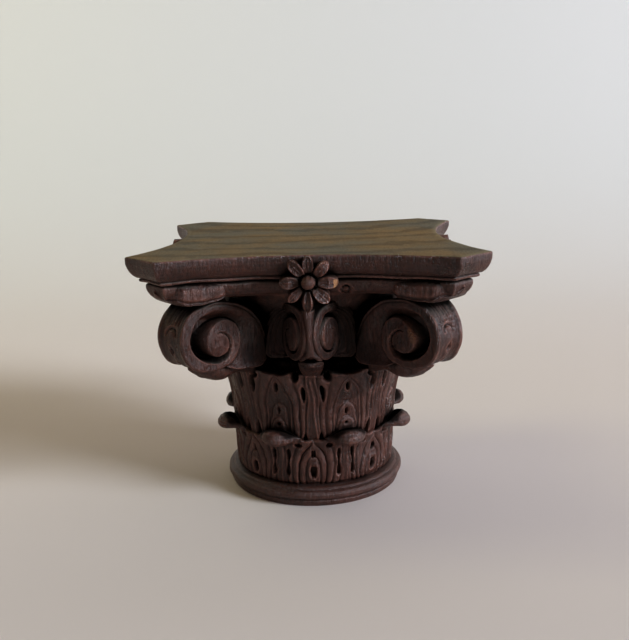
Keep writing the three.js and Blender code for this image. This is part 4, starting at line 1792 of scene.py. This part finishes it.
@dataclass
class Studio:
    """Floor, backdrop, camera and lights; the sheet and the lights are in metres."""

    camera_at: tuple[float, float, float] = (10.63, -513.12, 222.82)
    forward: tuple[float, float, float] = (-0.0175, 0.9744, -0.2239)
    roll: float = -1.12
    focal_pixels: float = 805.4
    long_side: float = 640.0
    sheet_size: float = 6.0
    sheet_middle: float = -1.6
    wall_height: float = 3.5
    sweep_radius: float = 0.9
    sweep_steps: int = 24
    room: Colour = (1.0, 0.78, 0.45, 1.0)
    room_strength: float = 0.16
    gamma: float = 0.8
    lights: tuple[SoftLight, ...] = (
        SoftLight("window", (6.75, -3.04, 3.0), 2.6, 850.0, (0.79, 0.9, 1.0)),
        SoftLight("sheen", (2.6, -0.1, 0.55), 1.5, 13.0, (0.68, 0.74, 1.0)),
        SoftLight("sky", (-1.5, -1.9, 1.3), 0.8, 3.6, (0.64, 0.6, 1.0)),
        SoftLight("bounce", (1.1, 0.9, 1.1), 1.2, 1.5, (1.0, 0.7, 0.34)),
        SoftLight("wall", (-1.3, 0.3, 1.7), 1.2, 12.6, (0.988, 1.0, 0.65), (-1.0, 1.4, 0.7)),
    )

    def pick_far_edge(self, sheet: bpy.types.Object) -> None:
        """Selects the floor's far edge and leaves the sheet in edit mode.

        Args:
            sheet: The sheet, in edit mode.
        """
        bpy.ops.mesh.select_all(action="DESELECT")
        bpy.ops.mesh.select_mode(type="EDGE")
        bpy.ops.object.mode_set(mode="OBJECT")
        far = self.sheet_size / 2.0 - 0.1
        for edge in sheet.data.edges:
            ends = [sheet.data.vertices[i].co for i in edge.vertices]
            edge.select = all(end.y > far and end.z < 0.01 for end in ends)
        bpy.ops.object.mode_set(mode="EDIT")

    def sweep(self) -> None:
        """Models the floor and the wall behind as one curved sheet."""
        deselect()
        bpy.ops.mesh.primitive_plane_add(size=self.sheet_size, location=(0.0, self.sheet_middle, 0.0))
        sheet = bpy.context.object
        sheet.name = sheet.data.name = "sweep"
        bpy.ops.object.mode_set(mode="EDIT")
        self.pick_far_edge(sheet)
        bpy.ops.mesh.extrude_region_move(TRANSFORM_OT_translate={"value": (0.0, 0.0, self.wall_height)})
        self.pick_far_edge(sheet)
        bpy.ops.mesh.bevel(offset=self.sweep_radius, segments=self.sweep_steps, affect="EDGES")
        bpy.ops.object.mode_set(mode="OBJECT")
        bpy.ops.object.transform_apply(location=True, rotation=True, scale=True)
        bpy.ops.object.shade_smooth()
        sheet.data.materials.append(PaleSweep().build())

    def camera(self) -> None:
        """Sets the camera where the capital is seen from."""
        data = bpy.data.cameras.new("camera")
        data.lens = self.focal_pixels / self.long_side * data.sensor_width
        camera = bpy.data.objects.new("camera", data)
        bpy.context.scene.collection.objects.link(camera)
        back = -Vector(self.forward).normalized()
        right = Vector((0.0, 0.0, 1.0)).cross(back).normalized()
        up = back.cross(right)
        turn = math.radians(self.roll)
        turned_right = math.cos(turn) * right + math.sin(turn) * up
        turned_up = math.cos(turn) * up - math.sin(turn) * right
        axes = Matrix((turned_right, turned_up, back)).transposed().to_4x4()
        axes.translation = Vector(self.camera_at) * MM
        camera.matrix_world = axes
        bpy.context.scene.camera = camera

    def light_up(self) -> None:
        """Sets the lights, the pale room around them and the contrast of the picture."""
        for light in self.lights:
            light.build()
        world = bpy.data.worlds.new("pale_room")
        world.use_nodes = True
        background = world.node_tree.nodes["Background"]
        background.inputs["Color"].default_value = self.room
        background.inputs["Strength"].default_value = self.room_strength
        bpy.context.scene.world = world
        bpy.context.scene.view_settings.view_transform = "Standard"
        bpy.context.scene.view_settings.gamma = self.gamma

    def build(self) -> None:
        """Builds the whole studio."""
        self.sweep()
        self.camera()
        self.light_up()


@dataclass
class Capital:
    """The whole capital: every carved sub-assembly, its chips and its finishes."""

    parts: list[Carving] = field(default_factory=list)
    chips: dict[str, list[Chip]] = field(default_factory=dict)

    @staticmethod
    def leaf_rings() -> list[LeafRing]:
        """Sizes of the two leaf rings.

        Returns:
            The lower and the upper ring.
        """
        lower = LowerLeaves(
            name="lower_leaves", count=1, columns=640, rows=72, sway=0.3, tool=0.08, step=0.56, seed=101,
            first=22.5, foot=11.8, behind=49.0,
            face=(
                (11.0, 50.9), (13.4, 51.2), (18.4, 51.7), (28.0, 52.1), (36.0, 52.7), (42.0, 54.0),
                (46.0, 54.6),
            ),
            rim=(
                (-0.2, 43.8), (0.0, 44.0), (0.35, 43.4), (0.6, 41.9), (0.85, 40.7), (1.0, 40.9), (1.2, 40.7),
            ),
        )
        upper = UpperLeaves(
            name="upper_leaves", count=1, columns=656, rows=94, sway=0.3, tool=0.08, step=0.56, seed=202,
            first=0.0, foot=38.0, behind=46.0,
            face=(
                (37.0, 50.4), (42.0, 51.6), (48.0, 53.0), (56.0, 53.8), (63.0, 54.6), (71.0, 56.2),
                (79.0, 58.0), (84.0, 59.2), (88.0, 59.8),
            ),
            rim=(
                (-0.2, 84.6), (0.0, 84.9), (0.3, 84.6), (0.55, 85.4), (0.75, 84.2), (1.0, 83.8), (1.2, 84.2),
            ),
        )
        return [lower, upper]

    @staticmethod
    def curled_tips() -> list[CurledTip]:
        """Sizes of the curled leaf ends.

        Returns:
            The lower tips, those under the stalks and those under the corner scrolls.
        """
        lower_tip = CurledTip(
            name="lower_tip", count=LEAVES, columns=54, rows=76, sway=0.35, tool=0.12, step=0.55,
            place_at=Place.BETWEEN_LEAVES,
            above=(
                (49.0, 46.4), (54.0, 48.4), (58.5, 49.7), (62.4, 49.2), (65.0, 47.2), (66.0, 44.6),
                (65.6, 42.4), (64.5, 41.2),
            ),
            below=(
                (49.0, 37.0), (53.4, 41.8), (56.6, 44.6), (59.4, 45.4), (61.6, 44.6), (62.4, 43.0),
                (63.0, 41.6), (64.5, 41.2),
            ),
            widths=((0.0, 13.6), (1.0, 13.6)), lobes=2, thin=3.0, rib=0.05, blunt=0.7, ends=(52.4, 43.6),
        )
        face_tip = CurledTip(
            name="face_tip", count=SIDES, columns=54, rows=76, sway=0.3, tool=0.12, step=0.62,
            place_at=Place.SIDE,
            above=((50.0, 94.0), (60.0, 96.6), (66.0, 97.2), (69.0, 95.6), (69.8, 93.2)),
            below=((50.0, 78.0), (59.0, 83.6), (64.0, 88.6), (67.6, 91.6), (69.8, 93.2)),
            widths=((0.0, 5.0), (0.4, 6.6), (0.75, 7.4), (0.93, 6.2), (1.0, 4.4)),
            crown=3.6, lobes=2, thin=2.6, rib=0.12,
        )
        corner_tip = CurledTip(
            name="corner_tip", count=SIDES, columns=60, rows=116, sway=0.35, tool=0.15, step=0.78,
            place_at=Place.CORNER,
            above=((50.0, 96.0), (70.0, 97.6), (85.0, 97.8), (94.0, 97.2), (98.5, 95.0), (99.4, 92.8)),
            below=(
                (50.0, 78.0), (64.0, 84.4), (74.0, 85.6), (82.0, 83.8), (87.5, 85.0), (94.0, 88.6),
                (99.4, 92.8),
            ),
            widths=((0.0, 8.6), (0.3, 10.4), (0.6, 11.0), (0.85, 9.4), (1.0, 5.0)),
            crown=5.0, lobes=3, lobe=0.3, thin=3.0, rib=0.2,
        )
        return [lower_tip, face_tip, corner_tip]

    @staticmethod
    def scrolls() -> list[ScrollPair]:
        """Sizes of the corner scrolls and of the inner scrolls beside the stalks.

        Returns:
            Both kinds of scroll.
        """
        volute = ScrollPair(
            name="corner_scroll", count=SIDES, columns=170, rows=130, rings=50, sway=0.35, tool=0.1, step=0.7,
            place_at=Place.CORNER, front=111.5, front_half_width=11.5, wedge=0.122, eye=(21.5, 110.5),
            stretch=(1.0, 1.0), bend=200.0, depth_share=1.0, decorated=True,
        )
        helix = ScrollPair(
            name="inner_scroll", count=SIDES, columns=148, rows=103, rings=46, sway=0.3, tool=0.1, step=0.5,
            place_at=Place.SIDE, front=74.6, front_half_width=3.7, wedge=0.62, eye=(12.6, 111.0),
            stretch=(0.62, 0.8), bend=23.0, depth_share=0.85, decorated=False, reeds=1.0,
            outer=(
                (-622.0, 4.2), (-605.0, 4.6), (-591.0, 5.3), (-548.0, 7.9), (-506.0, 9.6), (-450.0, 11.4),
                (-400.0, 9.4), (-350.0, 8.8), (-303.0, 10.6), (-270.0, 12.4), (-237.0, 13.4), (-208.0, 14.6),
                (-171.0, 15.6), (-140.0, 17.6), (-110.0, 18.6), (-80.0, 18.8), (-43.0, 19.6), (-20.0, 20.6),
                (5.0, 21.2), (30.0, 22.2), (58.0, 22.8), (90.0, 22.6), (111.0, 24.2), (128.0, 27.8),
                (141.0, 31.6), (154.0, 33.6), (170.0, 34.2), (190.0, 36.8), (203.0, 40.3),
            ),
        )
        return [volute, helix]

    def plan(self) -> None:
        """Lists every sub-assembly from the foot up, and the chips on them."""
        self.parts = [
            Foot(name="foot", count=1, sway=0.12, tool=0.03, step=1.2),
            Bell(name="bell", count=1, columns=180, rows=44, sway=0.3, tool=0.15, step=1.6),
            *self.leaf_rings(),
            *self.curled_tips(),
            *self.scrolls(),
            Stalk(name="stalk", count=SIDES, columns=72, rows=60, sway=0.25, tool=0.1, step=0.8),
            Flower(name="flower", count=SIDES, columns=248, rows=46, sway=0.25, tool=0.08, step=0.42),
            HornLeaf(name="horn_leaf", count=SIDES, columns=98, rows=90, sway=0.35, tool=0.12, step=0.75),
            Top(name="top", count=1, columns=672, rows=75, sway=0.3, tool=0.06, step=0.9),
        ]
        self.chips = {
            "corner_scroll_1": [Chip((54.4, -76.4, 111.5), 6.5, (-0.3, -0.93, 0.1), 0.35)],
            "flower_1": [Chip((14.6, -86.4, 144.0), 3.2, (0.75, -0.6, 0.1), 1.0)],
        }

    def build(self) -> None:
        """Builds all the pieces first, then dresses them, since each shades the others."""
        carver = Carver()
        self.plan()
        for part in self.parts:
            part.build(carver, self.chips)
        shade = Shade([piece for part in self.parts for piece in part.pieces])
        wood = StainedWood().build(grain_group(), wear_group(), dust_group())
        finishes = Finishes(wood, EndGrain().build())
        for part in self.parts:
            part.dress(carver, shade, finishes)


def main() -> None:
    """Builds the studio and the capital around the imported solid."""
    logging.basicConfig(level=logging.INFO, format="%(name)s %(message)s")
    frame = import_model()
    LOG.info("packed solid: %d faces", len(frame["nodes"][NODE].data.polygons))
    Studio().build()
    capital = Capital()
    capital.build()
    LOG.info("%d pieces in all", sum(len(part.pieces) for part in capital.parts))


if __name__ == "__main__":
    main()
